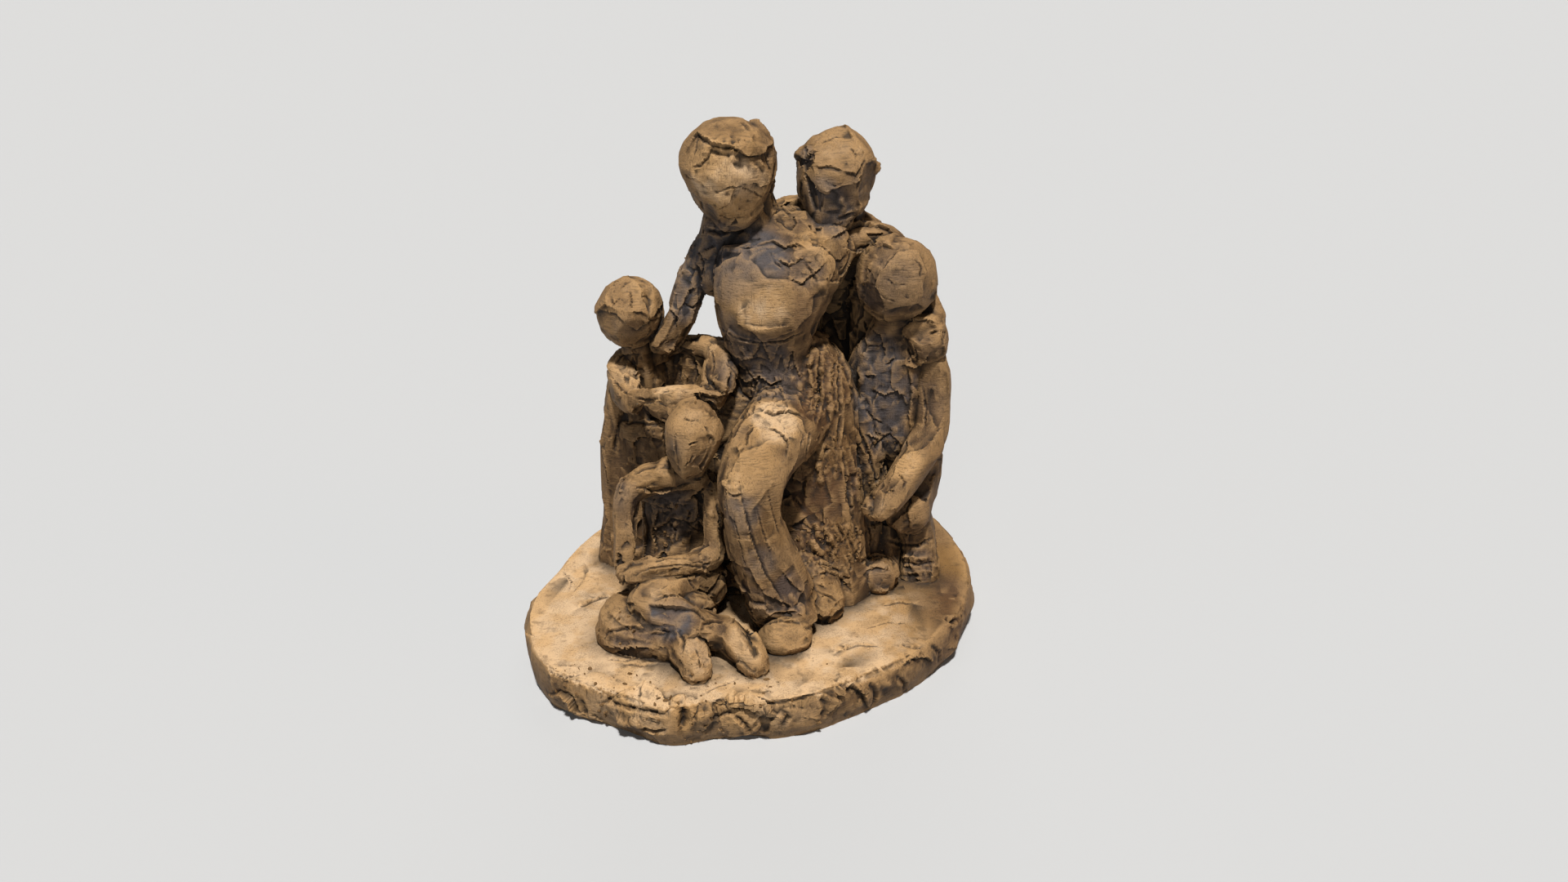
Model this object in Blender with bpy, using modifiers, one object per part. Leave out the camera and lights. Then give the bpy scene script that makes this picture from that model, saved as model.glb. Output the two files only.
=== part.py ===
"""Family group in modelled clay: a seated mother, a man behind her and three children on a rough oval slab.

Metres, +Z up. The origin is on the underside of the slab, below the middle of the group.
The group's front faces -Y. Everything is one lump of clay, so the forms overlap freely
and are fused into one solid at the end.
"""
import math

import bmesh
import bpy
from mathutils import Euler, Matrix, Vector

# Driving sizes, in metres
SLAB_RADIUS = 0.130
SLAB_THICKNESS = 0.025
MOTHER_HEIGHT = 0.270
MAN_HEIGHT = 0.262
OLDER_CHILD_HEIGHT = 0.205
LEANING_CHILD_HEIGHT = 0.183
SEATED_CHILD_HEIGHT = 0.131

# How the clay is worked
FUSE_GRAIN = 0.0016
PRESS_DEPTH = 0.0007
TOOL_DEPTH = 0.0024
TOOL_WIDTH = 0.016
PINCH_DEPTH = 0.0016
PINCH_WIDTH = 0.007
SOLID_TRIANGLES = 10500
BURIED = 0.004
ROUND_SIDES = 12

# The slab's outline: direction in degrees, and reach as a share of SLAB_RADIUS
SLAB_OUTLINE = (
    (-180, 0.94), (-165, 1.035), (-150, 1.085), (-136, 1.11), (-120, 1.05), (-106, 1.065), (-98, 0.99),
    (-90, 0.955), (-80, 0.985), (-60, 0.945), (-40, 0.97), (-20, 1.01), (0, 1.055), (18, 1.085), (35, 1.115),
    (55, 1.04), (75, 0.97), (95, 0.94), (115, 0.93), (135, 0.91), (154, 0.915), (169, 0.91),
)
# Torn lumps along the slab's side: direction in degrees, reach and height below the slab's top in
# percent of SLAB_RADIUS, then half sizes along the edge, outwards and upwards, and a twist in degrees
SLAB_LUMPS = (
    (-150, 103, -12, 7, 5, 6, 10), (-139, 105, -9, 8, 5, 8, -12), (-124, 101, -1.5, 9, 4.5, 2.6, 8),
    (-117, 99, -12, 12, 6, 6.5, 4), (-100, 98, -7, 6, 4, 5, -14), (-92, 93, -10, 12, 6, 8, -5),
    (-88, 94, -1.5, 10, 4, 2.4, 5), (-76, 94, -12, 9, 5, 6, 8), (-62, 91, -11, 12, 4.5, 7, -8),
    (-42, 92, -11, 12, 4.5, 7, 8), (-22, 96, -11, 13, 4.5, 7, -8), (-4, 100, -10, 10, 5, 8, 12),
    (14, 104, -10, 10, 5, 7, -8), (38, 104, -11, 12, 5, 7, 8), (64, 97, -10, 12, 5, 8, -6),
    (92, 91, -11, 14, 5, 7, 6), (120, 89, -10, 12, 5, 8, -8), (146, 88, -11, 10, 5, 7, 8),
    (171, 88, -10, 8, 5, 8, -8), (-168, 98, -10, 9, 5, 8, 6),
)
# The slab's side: height as a share of the thickness, and reach as a share of the outline
SLAB_SIDE = ((0.00, 0.975), (0.25, 0.995), (0.60, 1.00), (0.86, 0.995), (1.00, 0.975))


class Figure:
    """A person in the group. Points and radii are percent of the figure's own height above the slab."""

    def __init__(self, stand, height):
        self.stand = Vector((stand[0] * SLAB_RADIUS, stand[1] * SLAB_RADIUS, SLAB_THICKNESS))
        self.percent = height / 100

    def at(self, point):
        return self.stand + Vector(point) * self.percent


SLAB_TOP = Figure((0, 0), SLAB_RADIUS)
MOTHER = Figure((0.115, 0.0), MOTHER_HEIGHT)
MAN = Figure((0.423, 0.346), MAN_HEIGHT)
OLDER_CHILD = Figure((0.731, 0.062), OLDER_CHILD_HEIGHT)
LEANING_CHILD = Figure((-0.554, 0.115), LEANING_CHILD_HEIGHT)
SEATED_CHILD = Figure((-0.308, -0.346), SEATED_CHILD_HEIGHT)


def clear_scene():
    for found in list(bpy.data.objects):
        bpy.data.objects.remove(found, do_unlink=True)


def facing(azimuth, elevation):
    """A direction: azimuth 0 faces the front and 90 the right, elevation is upwards, in degrees."""
    a, e = math.radians(azimuth), math.radians(elevation)
    return Vector((math.sin(a) * math.cos(e), -math.cos(a) * math.cos(e), math.sin(e)))


def blended(rows, steps):
    """Rows of numbers with smooth in-between rows added, passing through every given row."""
    result = []
    for i in range(len(rows) - 1):
        a, b = rows[max(i - 1, 0)], rows[i]
        c, d = rows[i + 1], rows[min(i + 2, len(rows) - 1)]
        for k in range(steps):
            t = k / steps
            result.append([
                0.5 * (2 * q + (r - p) * t + (2 * p - 5 * q + 4 * r - s) * t * t + (3 * q - p - 3 * r + s) * t ** 3)
                for p, q, r, s in zip(a, b, c, d)
            ])
    result.append(list(rows[-1]))
    return result


def bridge_rings(clay, rings):
    """Skins a stack of rings of points and closes both ends."""
    made = [[clay.verts.new(point) for point in ring] for ring in rings]
    count = len(made[0])
    for lower, upper in zip(made, made[1:]):
        for i in range(count):
            j = (i + 1) % count
            clay.faces.new((lower[i], lower[j], upper[j], upper[i]))
    clay.faces.new(list(reversed(made[0])))
    clay.faces.new(made[-1])


def loft(clay, figure, sections, across=(1, 0, 0), square=2.0, sides=ROUND_SIDES):
    """A trunk or flattened arm through sections of (x, y, z, half width, half depth), in percent.

    The width is measured along `across`; `square` above 2 gives planed faces with softened corners."""
    rows = blended(sections, 3)
    centres = [figure.at(row[:3]) for row in rows]
    halves = [(row[3] * figure.percent, row[4] * figure.percent) for row in rows]
    for end, inner, place in ((0, 1, 0), (-1, -2, len(centres))):
        out = (centres[end] - centres[inner]).normalized() * min(halves[end])
        width, depth = halves[end]
        caps = [(centres[end] + out * 0.45, (width * 0.85, depth * 0.85)),
                (centres[end] + out * 0.80, (width * 0.50, depth * 0.50))]
        if place == 0:
            caps.reverse()
        centres[place:place] = [cap[0] for cap in caps]
        halves[place:place] = [cap[1] for cap in caps]
    rings = []
    for i, (centre, (width, depth)) in enumerate(zip(centres, halves)):
        along = (centres[min(i + 1, len(centres) - 1)] - centres[max(i - 1, 0)]).normalized()
        wide = (Vector(across) - along * along.dot(Vector(across))).normalized()
        deep = along.cross(wide)
        ring = []
        for k in range(sides):
            angle = 2 * math.pi * (k + 0.5) / sides
            c, s = math.cos(angle), math.sin(angle)
            reach = (abs(c) ** square + abs(s) ** square) ** (-1 / square)
            ring.append(centre + wide * (c * reach * width) + deep * (s * reach * depth))
        rings.append(ring)
    bridge_rings(clay, rings)


def limb(clay, figure, points):
    """A rolled limb along points of (x, y, z, radius), in percent, as a tapering curve."""
    curve = bpy.data.curves.new("limb", "CURVE")
    curve.dimensions = "3D"
    curve.bevel_depth = 1.0
    curve.bevel_resolution = 2
    curve.resolution_u = 4
    curve.use_fill_caps = True
    spline = curve.splines.new("BEZIER")
    spline.bezier_points.add(len(points) - 1)
    for knot, (x, y, z, radius) in zip(spline.bezier_points, points):
        knot.co = figure.at((x, y, z))
        knot.radius = radius * figure.percent
        knot.handle_left_type = knot.handle_right_type = "AUTO"
    roll = bpy.data.objects.new("limb", curve)
    bpy.context.scene.collection.objects.link(roll)
    mesh = bpy.data.meshes.new_from_object(roll.evaluated_get(bpy.context.evaluated_depsgraph_get()))
    clay.from_mesh(mesh)
    bpy.data.objects.remove(roll)
    bpy.data.meshes.remove(mesh)
    for x, y, z, radius in (points[0], points[-1]):
        lump(clay, figure, (x, y, z), (radius * 0.97,) * 3)


def lump(clay, figure, centre, half, turn=(0, 0, 0), taper=0.0, cuts=()):
    """A pressed ball with half sizes in percent, narrowed downwards by `taper` and planed by `cuts`.

    A cut is (azimuth, elevation, share): the knife leaves that share of the ball's reach that way."""
    ball = bmesh.new()
    bmesh.ops.create_icosphere(ball, subdivisions=3, radius=1.0)
    for vert in ball.verts:
        narrow = 1 - taper * max(0.0, 0.25 - vert.co.z)
        vert.co.x *= narrow
        vert.co.y *= narrow
    turned = Euler([math.radians(angle) for angle in turn]).to_matrix()
    size = Matrix.Diagonal(Vector(half) * figure.percent)
    bmesh.ops.transform(ball, matrix=(turned @ size).to_4x4(), verts=ball.verts)
    for azimuth, elevation, share in cuts:
        normal = facing(azimuth, elevation)
        reach = max(vert.co.dot(normal) for vert in ball.verts)
        everything = ball.verts[:] + ball.edges[:] + ball.faces[:]
        bmesh.ops.bisect_plane(ball, geom=everything, dist=1e-7, plane_co=normal * reach * share,
                               plane_no=normal, clear_outer=True)
        rim = [edge for edge in ball.edges if edge.is_boundary]
        bmesh.ops.contextual_create(ball, geom=rim)
    bmesh.ops.translate(ball, vec=figure.at(centre), verts=ball.verts)
    add_shape(clay, ball)


def block(clay, figure, centre, half, turn=(0, 0, 0), soft=0.3):
    """A cut block of clay with knocked-off edges, half sizes in percent."""
    cube = bmesh.new()
    bmesh.ops.create_cube(cube, size=2.0)
    bmesh.ops.scale(cube, vec=Vector(half) * figure.percent, verts=cube.verts)
    bmesh.ops.bevel(cube, geom=cube.edges[:], offset=soft * min(half) * figure.percent, segments=2,
                    profile=0.5, affect="EDGES")
    turned = Euler([math.radians(angle) for angle in turn]).to_matrix().to_4x4()
    bmesh.ops.transform(cube, matrix=turned, verts=cube.verts)
    bmesh.ops.translate(cube, vec=figure.at(centre), verts=cube.verts)
    add_shape(clay, cube)


def add_shape(clay, shape):
    mesh = bpy.data.meshes.new("shape")
    shape.to_mesh(mesh)
    shape.free()
    clay.from_mesh(mesh)
    bpy.data.meshes.remove(mesh)


def slab(clay):
    """The rough oval slab, a little deeper than its thickness so that its underside can be cut flat."""
    wrapped = [SLAB_OUTLINE[-1], *SLAB_OUTLINE, SLAB_OUTLINE[0], SLAB_OUTLINE[1]]
    turns = [direction - 360 * (i == 0) + 360 * (i > len(SLAB_OUTLINE)) for i, (direction, _) in enumerate(wrapped)]
    rows = [(turn, reach) for turn, (_, reach) in zip(turns, wrapped)]
    outline = [row for row in blended(rows, 3) if -180 <= row[0] < 180]
    rings = []
    for height, spread in ((-BURIED / SLAB_THICKNESS, SLAB_SIDE[0][1]), *SLAB_SIDE):
        rings.append([
            Vector((math.cos(math.radians(turn)), math.sin(math.radians(turn)), 0)) * (SLAB_RADIUS * reach * spread)
            + Vector((0, 0, height * SLAB_THICKNESS))
            for turn, reach in outline
        ])
    bridge_rings(clay, rings)
    for direction, reach, level, along, outward, upward, twist in SLAB_LUMPS:
        turn = math.radians(direction)
        centre = (reach * math.cos(turn), reach * math.sin(turn), level)
        lump(clay, SLAB_TOP, centre, (along, outward, upward), turn=(twist, twist, direction + 90))


def mother(clay):
    """Seated on a rough block of clay, leaning her head towards the smaller children."""
    who = MOTHER
    loft(clay, who, [
        (9, -1, -2, 13, 14), (8.5, 1, 15, 11.5, 12), (8, 3, 30, 10.5, 10.5), (8, 3.6, 42, 9.6, 9), (6, 3.5, 50, 8, 7),
    ], square=3.0)
    loft(clay, who, [
        (19, 3, -2, 5, 7), (19.6, 3.4, 14, 4.6, 6), (19.6, 4.4, 28, 4.8, 6), (18, 5.5, 40, 4, 5.5),
    ], square=2.6)
    loft(clay, who, [
        (-8, 1, -2, 9, 10), (-8, 1.5, 20, 8.4, 9), (-8, 2, 34, 8, 8), (-6.5, 2, 41, 7, 7),
    ], square=2.8)
    loft(clay, who, [
        (-18, 9, -2, 12, 6), (-18, 9, 20, 11, 5.4), (-17, 9, 38, 10, 4.8), (-15, 9, 50, 8.5, 4.2),
    ], square=2.8)
    limb(clay, who, [(-12, 12, 50, 2.4), (-13, 14, 30, 2.8), (-15, 15.5, 6, 3.4), (-15.5, 16, -1, 3.6)])
    limb(clay, who, [(-20, 11.5, 46, 2.0), (-21, 13.5, 26, 2.6), (-22, 14.5, 5, 3.2), (-22, 14.5, -1, 3.4)])
    limb(clay, who, [(-5, 12, 58, 3.4), (-5, 13, 40, 4.2), (-6, 14, 16, 5.0), (-6, 15, -1, 5.6)])
    loft(clay, who, [(2, 9, 30, 9, 6), (2, 9, 50, 8, 5.5), (2, 9, 66, 8.5, 5), (1, 8, 74, 7, 4)], square=2.6)
    loft(clay, who, [
        (3.5, 1, 41, 9.2, 8.0), (1, 1, 49, 8.8, 6.4), (0, 0.6, 54, 9.0, 6.2), (-0.2, -0.3, 58.5, 10.4, 7.0),
        (0, -0.6, 63.0, 12.0, 8.7), (0.6, 0.6, 68, 12.8, 8.4), (1.0, 3.2, 73.5, 12.0, 6.8), (0.5, 4.5, 78, 8.0, 5.0),
    ], square=2.3, sides=16)
    limb(clay, who, [(1.5, 5, 74, 6.2), (-1.2, 4, 80, 5.2), (-3.6, 3, 86, 5.2)])
    lump(clay, who, (-8.5, 1.2, 89.2), (9.8, 9.2, 10.8), turn=(-12, 0, 0), taper=0.20, cuts=[
        (-25, 8, 0.88), (30, -10, 0.88), (-60, -35, 0.84), (0, -50, 0.90), (85, 0, 0.93), (-80, 25, 0.92),
    ])
    lump(clay, who, (-8.2, 1.4, 95.5), (8.7, 9.2, 3.9), turn=(-4, 6, 0), cuts=[
        (-10, 62, 0.76), (70, 40, 0.88), (-75, 40, 0.80), (180, 40, 0.88), (90, 0, 0.92),
    ])
    lump(clay, who, (-2.8, 3.0, 96.0), (2.9, 3.2, 2.6))
    lump(clay, who, (10.4, 3.2, 72.8), (5.8, 5.2, 6.8), cuts=[(20, 10, 0.82), (80, -20, 0.9)])
    lump(clay, who, (6.4, -1.2, 70.6), (7.2, 5.2, 6.0), turn=(0, 25, 0), cuts=[(10, 20, 0.80)])
    block(clay, who, (-11.4, 4.4, 76.4), (3.6, 3.8, 4.2), turn=(0, 18, 10))
    lump(clay, who, (-12.0, 4.6, 72.0), (4.6, 4.0, 8.0), turn=(0, 6, 0))
    limb(clay, who, [
        (-12.0, 5.2, 76.5, 3.3), (-15.4, 5.4, 70, 3.4), (-17.8, 4.8, 64, 3.2), (-20.4, 4.0, 57.5, 2.9),
        (-23.0, 3.4, 54.0, 2.9),
    ])
    loft(clay, who, [
        (11.5, 5.4, 74.0, 3.2, 3.4), (18.5, 7.6, 75.0, 3.2, 3.4), (25.5, 9.6, 75.2, 3.0, 3.2),
        (30.5, 9.5, 71.0, 2.4, 2.6),
    ], across=(0, 0, 1), square=2.8)
    loft(clay, who, [
        (4.5, 3, 40, 7.5, 8.5), (1.6, -8, 39.6, 6.6, 7.9), (-1.8, -15, 37.5, 6.0, 7.4),
        (-4.4, -20, 32.5, 5.4, 6.4), (-4.1, -20.6, 25, 5.6, 5.8), (-2.2, -20.6, 17.0, 6.0, 6.6),
        (0.4, -20.2, 9.5, 6.4, 7.0), (1.6, -19.2, 4.5, 5.6, 7.4),
    ], across=(0.17, -1, 0.6), square=3.2, sides=16)
    loft(clay, who, [
        (0.8, -19.5, 8.0, 4.0, 3.6), (3.8, -22.6, 5.6, 3.8, 3.2), (5.8, -24.6, 4.0, 3.4, 2.8),
    ], square=2.4)
    loft(clay, who, [
        (5.5, -12.5, 8.0, 5.0, 4.4), (8.8, -15.8, 5.2, 5.2, 4.0), (11.6, -18.4, 3.2, 4.6, 3.4),
    ], square=2.6)
    lump(clay, who, (2.4, -27.8, 1.9), (5.4, 4.4, 3.6), turn=(0, -6, 10), cuts=[(20, 40, 0.86)])


def man(clay):
    """Standing behind, one arm over the older child's shoulder and the other round the mother."""
    who = MAN
    loft(clay, who, [
        (-1.5, 4.5, 36, 9.6, 7.4), (-1.5, 4.8, 45, 10, 7.6), (-2, 3.4, 58, 9.0, 6.6), (-2, 2.0, 68, 10.2, 7.0),
        (-2.5, 0.4, 76, 10.4, 6.0), (-1, -2, 81, 6.0, 4.4),
    ], square=2.5, sides=16)
    loft(clay, who, [(-6.6, 4.5, -2, 6.4, 8.2), (-6.2, 5, 14, 5.6, 7.0), (-6, 5, 30, 5.6, 6.8), (-5.6, 5, 42, 5, 7)])
    loft(clay, who, [(4.6, 6, -2, 6.4, 8.2), (4.2, 5.5, 14, 5.6, 7.0), (3.6, 5, 30, 5.6, 6.8), (3, 5, 42, 5, 7)])
    loft(clay, who, [(8, -4, 2, 5, 8), (7.5, -3, 30, 4.6, 7), (6, -3, 52, 4.6, 6), (5, -3, 66, 4, 5)], square=2.6)
    limb(clay, who, [(-1, -1, 78, 5.0), (-1, -4, 82, 4.6), (-2, -7, 87, 4.6)])
    lump(clay, who, (-2.4, -9.8, 89.6), (8.8, 8.9, 11.2), turn=(-15, 10, 0), taper=0.25, cuts=[
        (0, 46, 0.82), (5, -18, 0.88), (-55, -10, 0.92), (62, -8, 0.88), (120, 10, 0.92), (60, 50, 0.92),
    ])
    lump(clay, who, (-8.6, -9.5, 94.0), (2.4, 2.4, 2.6))
    lump(clay, who, (5.2, -9.0, 92.0), (1.6, 1.8, 2.0))
    limb(clay, who, [
        (1.0, 0, 78.2, 4.4), (5.0, -0.8, 79.2, 3.8), (8.4, -1.6, 75.4, 3.2), (11.4, -2.4, 68.6, 3.0),
        (16.6, -9.0, 64.8, 2.9), (19.2, -12.2, 60.6, 3.0),
    ])
    lump(clay, who, (17.4, -14.6, 57.0), (5.4, 4.2, 5.4), turn=(10, 20, 0), cuts=[
        (-10, 25, 0.80), (60, 10, 0.85), (-60, -20, 0.85),
    ])
    limb(clay, who, [(-6, 0.5, 79, 4.2), (-12.2, -1.2, 82.4, 3.0), (-17.5, -5.0, 75, 3.2), (-22, -8, 68, 3.0)])


def older_child(clay):
    """Standing at the right with bent knees, one hand hanging in front."""
    who = OLDER_CHILD
    lump(clay, who, (-5.8, 1, 87.8), (10.9, 10.6, 10.7), turn=(0, 20, 0), taper=0.12, cuts=[
        (0, 18, 0.86), (-50, -20, 0.86), (48, 0, 0.88), (10, -48, 0.86), (90, 10, 0.93), (-50, 45, 0.90),
        (50, 50, 0.92),
    ])
    limb(clay, who, [(-7, 3, 66, 6), (-6.4, 3.5, 76, 5.6), (-5.0, 3, 82, 5.6)])
    loft(clay, who, [
        (2.8, 5, 23, 6.5, 6.5), (2.6, 4.5, 33, 8.0, 7.0), (-3.4, 3.6, 42, 8.0, 6.8), (-6.4, 3, 51, 9.0, 6.8),
        (-6.6, 3, 60, 9.0, 6.6), (-6.2, 3, 68, 9.4, 6.4), (-5.5, 3.4, 73.5, 7.8, 5.2),
    ], square=2.4, sides=14)
    loft(clay, who, [
        (3.5, 2.6, 70, 3.6, 3.6), (5.9, 1.0, 62, 4.8, 4.2), (6.2, 0, 54, 4.8, 4.2), (5.8, -2.6, 46.5, 4.9, 4.2),
        (2.2, -6.6, 40.4, 4.9, 4.2), (-3.0, -10.6, 34.6, 4.6, 4.0), (-8.0, -14.4, 29.6, 4.6, 3.4),
        (-10.8, -16.0, 27.0, 4.2, 3.0),
    ], across=(0.7, -0.3, 0.2), square=2.6)
    limb(clay, who, [(-12, 4, 68, 4.0), (-17.5, 4, 60, 3.6), (-22, 3, 62, 3.4), (-26, 2, 66, 3.2)])
    limb(clay, who, [(2.5, 5, 33, 7.0), (1.8, 0, 26, 6.8), (0.2, -4.4, 21.2, 6.6)])
    lump(clay, who, (-0.4, -6.2, 21.6), (6.8, 5.4, 7.0), cuts=[(10, -35, 0.84)])
    loft(clay, who, [
        (1.2, -1.6, 19, 5.4, 5.0), (3.6, -0.4, 12, 5.3, 5.6), (4.2, -2.2, 5, 5.6, 6.0), (4.0, -3.6, -2, 6.2, 6.6),
    ], square=2.8)
    limb(clay, who, [(-5, 7, 34, 6.4), (-6.4, 4, 20, 6.2), (-7, -1, 8, 5.6), (-7.6, -6, 3, 5.2)])
    lump(clay, who, (-8.4, -11.5, 4.2), (5.6, 5.6, 5.6), cuts=[(0, 35, 0.84), (30, 0, 0.88)])


def leaning_child(clay):
    """Standing at the left in a long garment, both arms laid in a ring on the mother's lap."""
    who = LEANING_CHILD
    lump(clay, who, (3.1, -2.4, 89.6), (10.4, 10.4, 10.8), cuts=[
        (-8, 52, 0.84), (-35, 0, 0.88), (20, -30, 0.84), (-70, 30, 0.90), (65, 20, 0.86), (-60, -40, 0.95),
    ])
    limb(clay, who, [(5.4, 1.5, 66, 5.4), (5.0, 0, 74, 4.7), (4.6, -1, 82, 4.8)])
    loft(clay, who, [
        (-1.0, 4, -2, 12.0, 8.5), (-0.5, 3.5, 14, 10.8, 7.6), (0.5, 3.5, 30, 9.8, 7.0), (1.2, 3, 45, 9.8, 6.8),
        (2.5, 3, 58, 9.6, 6.6), (5.6, 3.5, 68, 9.4, 5.6), (6.6, 3.5, 72.5, 7.0, 4.2),
    ], square=2.6, sides=16)
    loft(clay, who, [
        (-2.6, -0.5, 60, 3.6, 4.2), (-4.6, 0.2, 50, 3.7, 4.4), (-6.2, 1.0, 38, 3.4, 4.2),
        (-6.6, 2.0, 20, 3.6, 4.4), (-8.0, 3.2, 2, 4.2, 5.0), (-8.0, 3.2, -2, 4.2, 5.0),
    ], square=2.8, sides=8)
    block(clay, who, (6.8, -2.0, 45.5), (8.4, 4.0, 8.0), turn=(6, 0, -8), soft=0.5)
    loft(clay, who, [
        (1.6, 0.8, 72.0, 4.4, 4.4), (-0.6, -2.8, 69.2, 5.0, 4.6), (1.2, -8.0, 66.2, 5.0, 4.4),
        (4.0, -12.8, 63.8, 4.6, 4.2),
    ], across=(0, 0, 1), square=3.2, sides=12)
    loft(clay, who, [
        (3.4, -12.8, 64.8, 3.8, 3.6), (9.0, -16.2, 67.0, 2.5, 2.8), (18.0, -19.4, 68.8, 2.2, 2.8),
        (26.5, -21.0, 69.6, 2.8, 3.2),
    ], across=(0, 0, 1), square=3.2, sides=12)
    loft(clay, who, [
        (9.0, 2.0, 74.2, 3.4, 3.8), (16.0, 2.0, 76.8, 2.6, 3.4), (24.0, 1.0, 77.8, 2.6, 3.6),
        (30.8, -3.2, 77.2, 3.4, 4.4), (31.4, -10.0, 75.0, 4.0, 4.8), (30.8, -16.0, 71.6, 4.2, 4.8),
        (29.4, -20.6, 68.4, 3.6, 4.0),
    ], across=(0, 0, 1), square=3.0, sides=12)
    limb(clay, who, [(8, 0, 60, 4.2), (16, -8, 58.5, 3.6), (22, -14, 60, 3.2)])


def seated_child(clay):
    """Sitting cross-legged in front, its arms folded down over its lap."""
    who = SEATED_CHILD
    lump(clay, who, (8.4, 0.6, 83.6), (12.8, 13.0, 17.2), turn=(-24, 12, 0), taper=0.38, cuts=[
        (-48, -6, 0.88), (20, -6, 0.92), (60, 10, 0.94),
    ])
    limb(clay, who, [(4, 12, 58, 7.0), (6.5, 9, 66, 6.6), (9, 6, 74, 7.2)])
    loft(clay, who, [
        (0, 9, -3, 19, 13), (-1, 13, 10, 17, 11), (-1, 18, 28, 16, 8.5), (0, 18, 44, 15.5, 8.0),
        (0.5, 15.5, 56, 16.5, 7.8), (2, 12.5, 63, 13, 6.5),
    ], square=2.6, sides=16)
    loft(clay, who, [
        (9, 9, 62.5, 6.6, 6.2), (-2, 8.4, 63.6, 6.6, 6.2), (-12, 6.8, 62.6, 6.4, 6.0), (-19.4, 4.0, 57.0, 5.8, 5.6),
        (-21.4, 2.0, 48, 4.8, 5.2), (-21.4, -1.0, 38, 4.4, 4.8), (-21.4, -4.6, 27, 4.8, 4.8),
    ], across=(0, -0.5, 1), square=3.0, sides=12)
    loft(clay, who, [
        (12, 11.5, 61, 4.2, 4.6), (15.6, 9.6, 56, 3.7, 4.2), (16.0, 6.0, 45, 3.3, 3.8), (16.6, 2.0, 34, 4.0, 4.2),
        (14.0, -2.6, 30, 4.6, 5.2), (5.0, -8.4, 31, 4.0, 4.4), (-4.0, -11.8, 31.4, 3.8, 4.0),
        (-13.0, -13.2, 29.8, 3.8, 4.0), (-21.2, -13.0, 27.4, 3.8, 4.2),
    ], across=(0.4, 0, 1), square=2.8, sides=12)
    loft(clay, who, [
        (13, 4, 14, 9.0, 9.0), (3, -6.5, 18.6, 9.0, 9.0), (-6, -14.5, 20.0, 8.2, 8.4), (-10.4, -18.4, 19.4, 6.4, 6.4),
    ], across=(0, 0, 1), square=3.4, sides=12)
    loft(clay, who, [
        (-12.4, -18.0, 17.0, 7.6, 6.4), (-9.0, -20.6, 15.6, 8.0, 7.0), (0, -23.6, 13.6, 7.4, 7.0),
        (10, -26.4, 11.4, 6.6, 6.4), (18.6, -28.6, 9.8, 5.6, 5.8),
    ], across=(0, -0.3, 1), square=3.6, sides=12)
    lump(clay, who, (6, -14.5, 12.5), (12, 8, 7.5), turn=(0, 10, -12))
    loft(clay, who, [
        (19.5, -27.0, 9.4, 5.0, 4.6), (25.0, -29.6, 8.8, 5.6, 5.2), (30.0, -34.2, 7.4, 6.0, 5.6),
        (35.0, -40.0, 4.8, 5.2, 5.0), (38.0, -45.2, 2.6, 3.6, 3.8),
    ], across=(0, 0, 1), square=3.6, sides=8)
    loft(clay, who, [
        (-11, 0, 5.5, 9.0, 9.0), (-18.5, -10.0, 6.6, 9.8, 9.4), (-23.6, -18.0, 6.4, 10.2, 9.4),
        (-19.4, -24.0, 5.0, 9.0, 8.2), (-9.6, -27.6, 4.4, 8.0, 7.2), (0.0, -31.0, 4.0, 6.8, 6.4),
    ], across=(0, -0.2, 1), square=3.4, sides=12)
    loft(clay, who, [
        (3.0, -32.0, 6.2, 6.2, 6.0), (6.6, -36.0, 7.0, 7.2, 7.0), (10.0, -41.4, 5.4, 6.8, 6.6),
        (11.6, -47.0, 2.6, 4.6, 5.2),
    ], across=(0, 0, 1), square=3.6, sides=8)


def clay_material():
    material = bpy.data.materials.new("warm brown clay")
    material.use_nodes = True
    shader = material.node_tree.nodes["Principled BSDF"]
    shader.inputs["Base Color"].default_value = (0.30, 0.20, 0.11, 1)
    shader.inputs["Roughness"].default_value = 0.72
    shader.inputs["Metallic"].default_value = 0.0
    return material


def outer_shell(mesh):
    """Drops every pocket that the fused forms enclose, keeping the largest shell."""
    shape = bmesh.new()
    shape.from_mesh(mesh)
    left = set(shape.verts)
    shells = []
    while left:
        stack = [left.pop()]
        shell = list(stack)
        while stack:
            for edge in stack.pop().link_edges:
                for vert in edge.verts:
                    if vert in left:
                        left.remove(vert)
                        stack.append(vert)
                        shell.append(vert)
        shells.append(shell)
    shells.sort(key=len)
    bmesh.ops.delete(shape, geom=[vert for shell in shells[:-1] for vert in shell], context="VERTS")
    shape.to_mesh(mesh)
    shape.free()


def evaluated_mesh(source):
    graph = bpy.context.evaluated_depsgraph_get()
    return bpy.data.meshes.new_from_object(source.evaluated_get(graph))


def fused(name, clay, collection):
    """All the overlapping forms as one skin of clay; swelling and sinking it presses thin slits shut."""
    mesh = bpy.data.meshes.new(name)
    clay.to_mesh(mesh)
    clay.free()
    group = bpy.data.objects.new(name, mesh)
    collection.objects.link(group)
    for step, press in (("swell", PRESS_DEPTH), ("sink", -PRESS_DEPTH), ("skin", 0)):
        skin = group.modifiers.new("fuse before " + step, "REMESH")
        skin.mode = "VOXEL"
        skin.voxel_size = FUSE_GRAIN
        if press:
            move = group.modifiers.new(step, "DISPLACE")
            move.strength = press
            move.mid_level = 0.0
    group.data = evaluated_mesh(group)
    group.modifiers.clear()
    bpy.data.meshes.remove(mesh)
    outer_shell(group.data)
    return group


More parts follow.
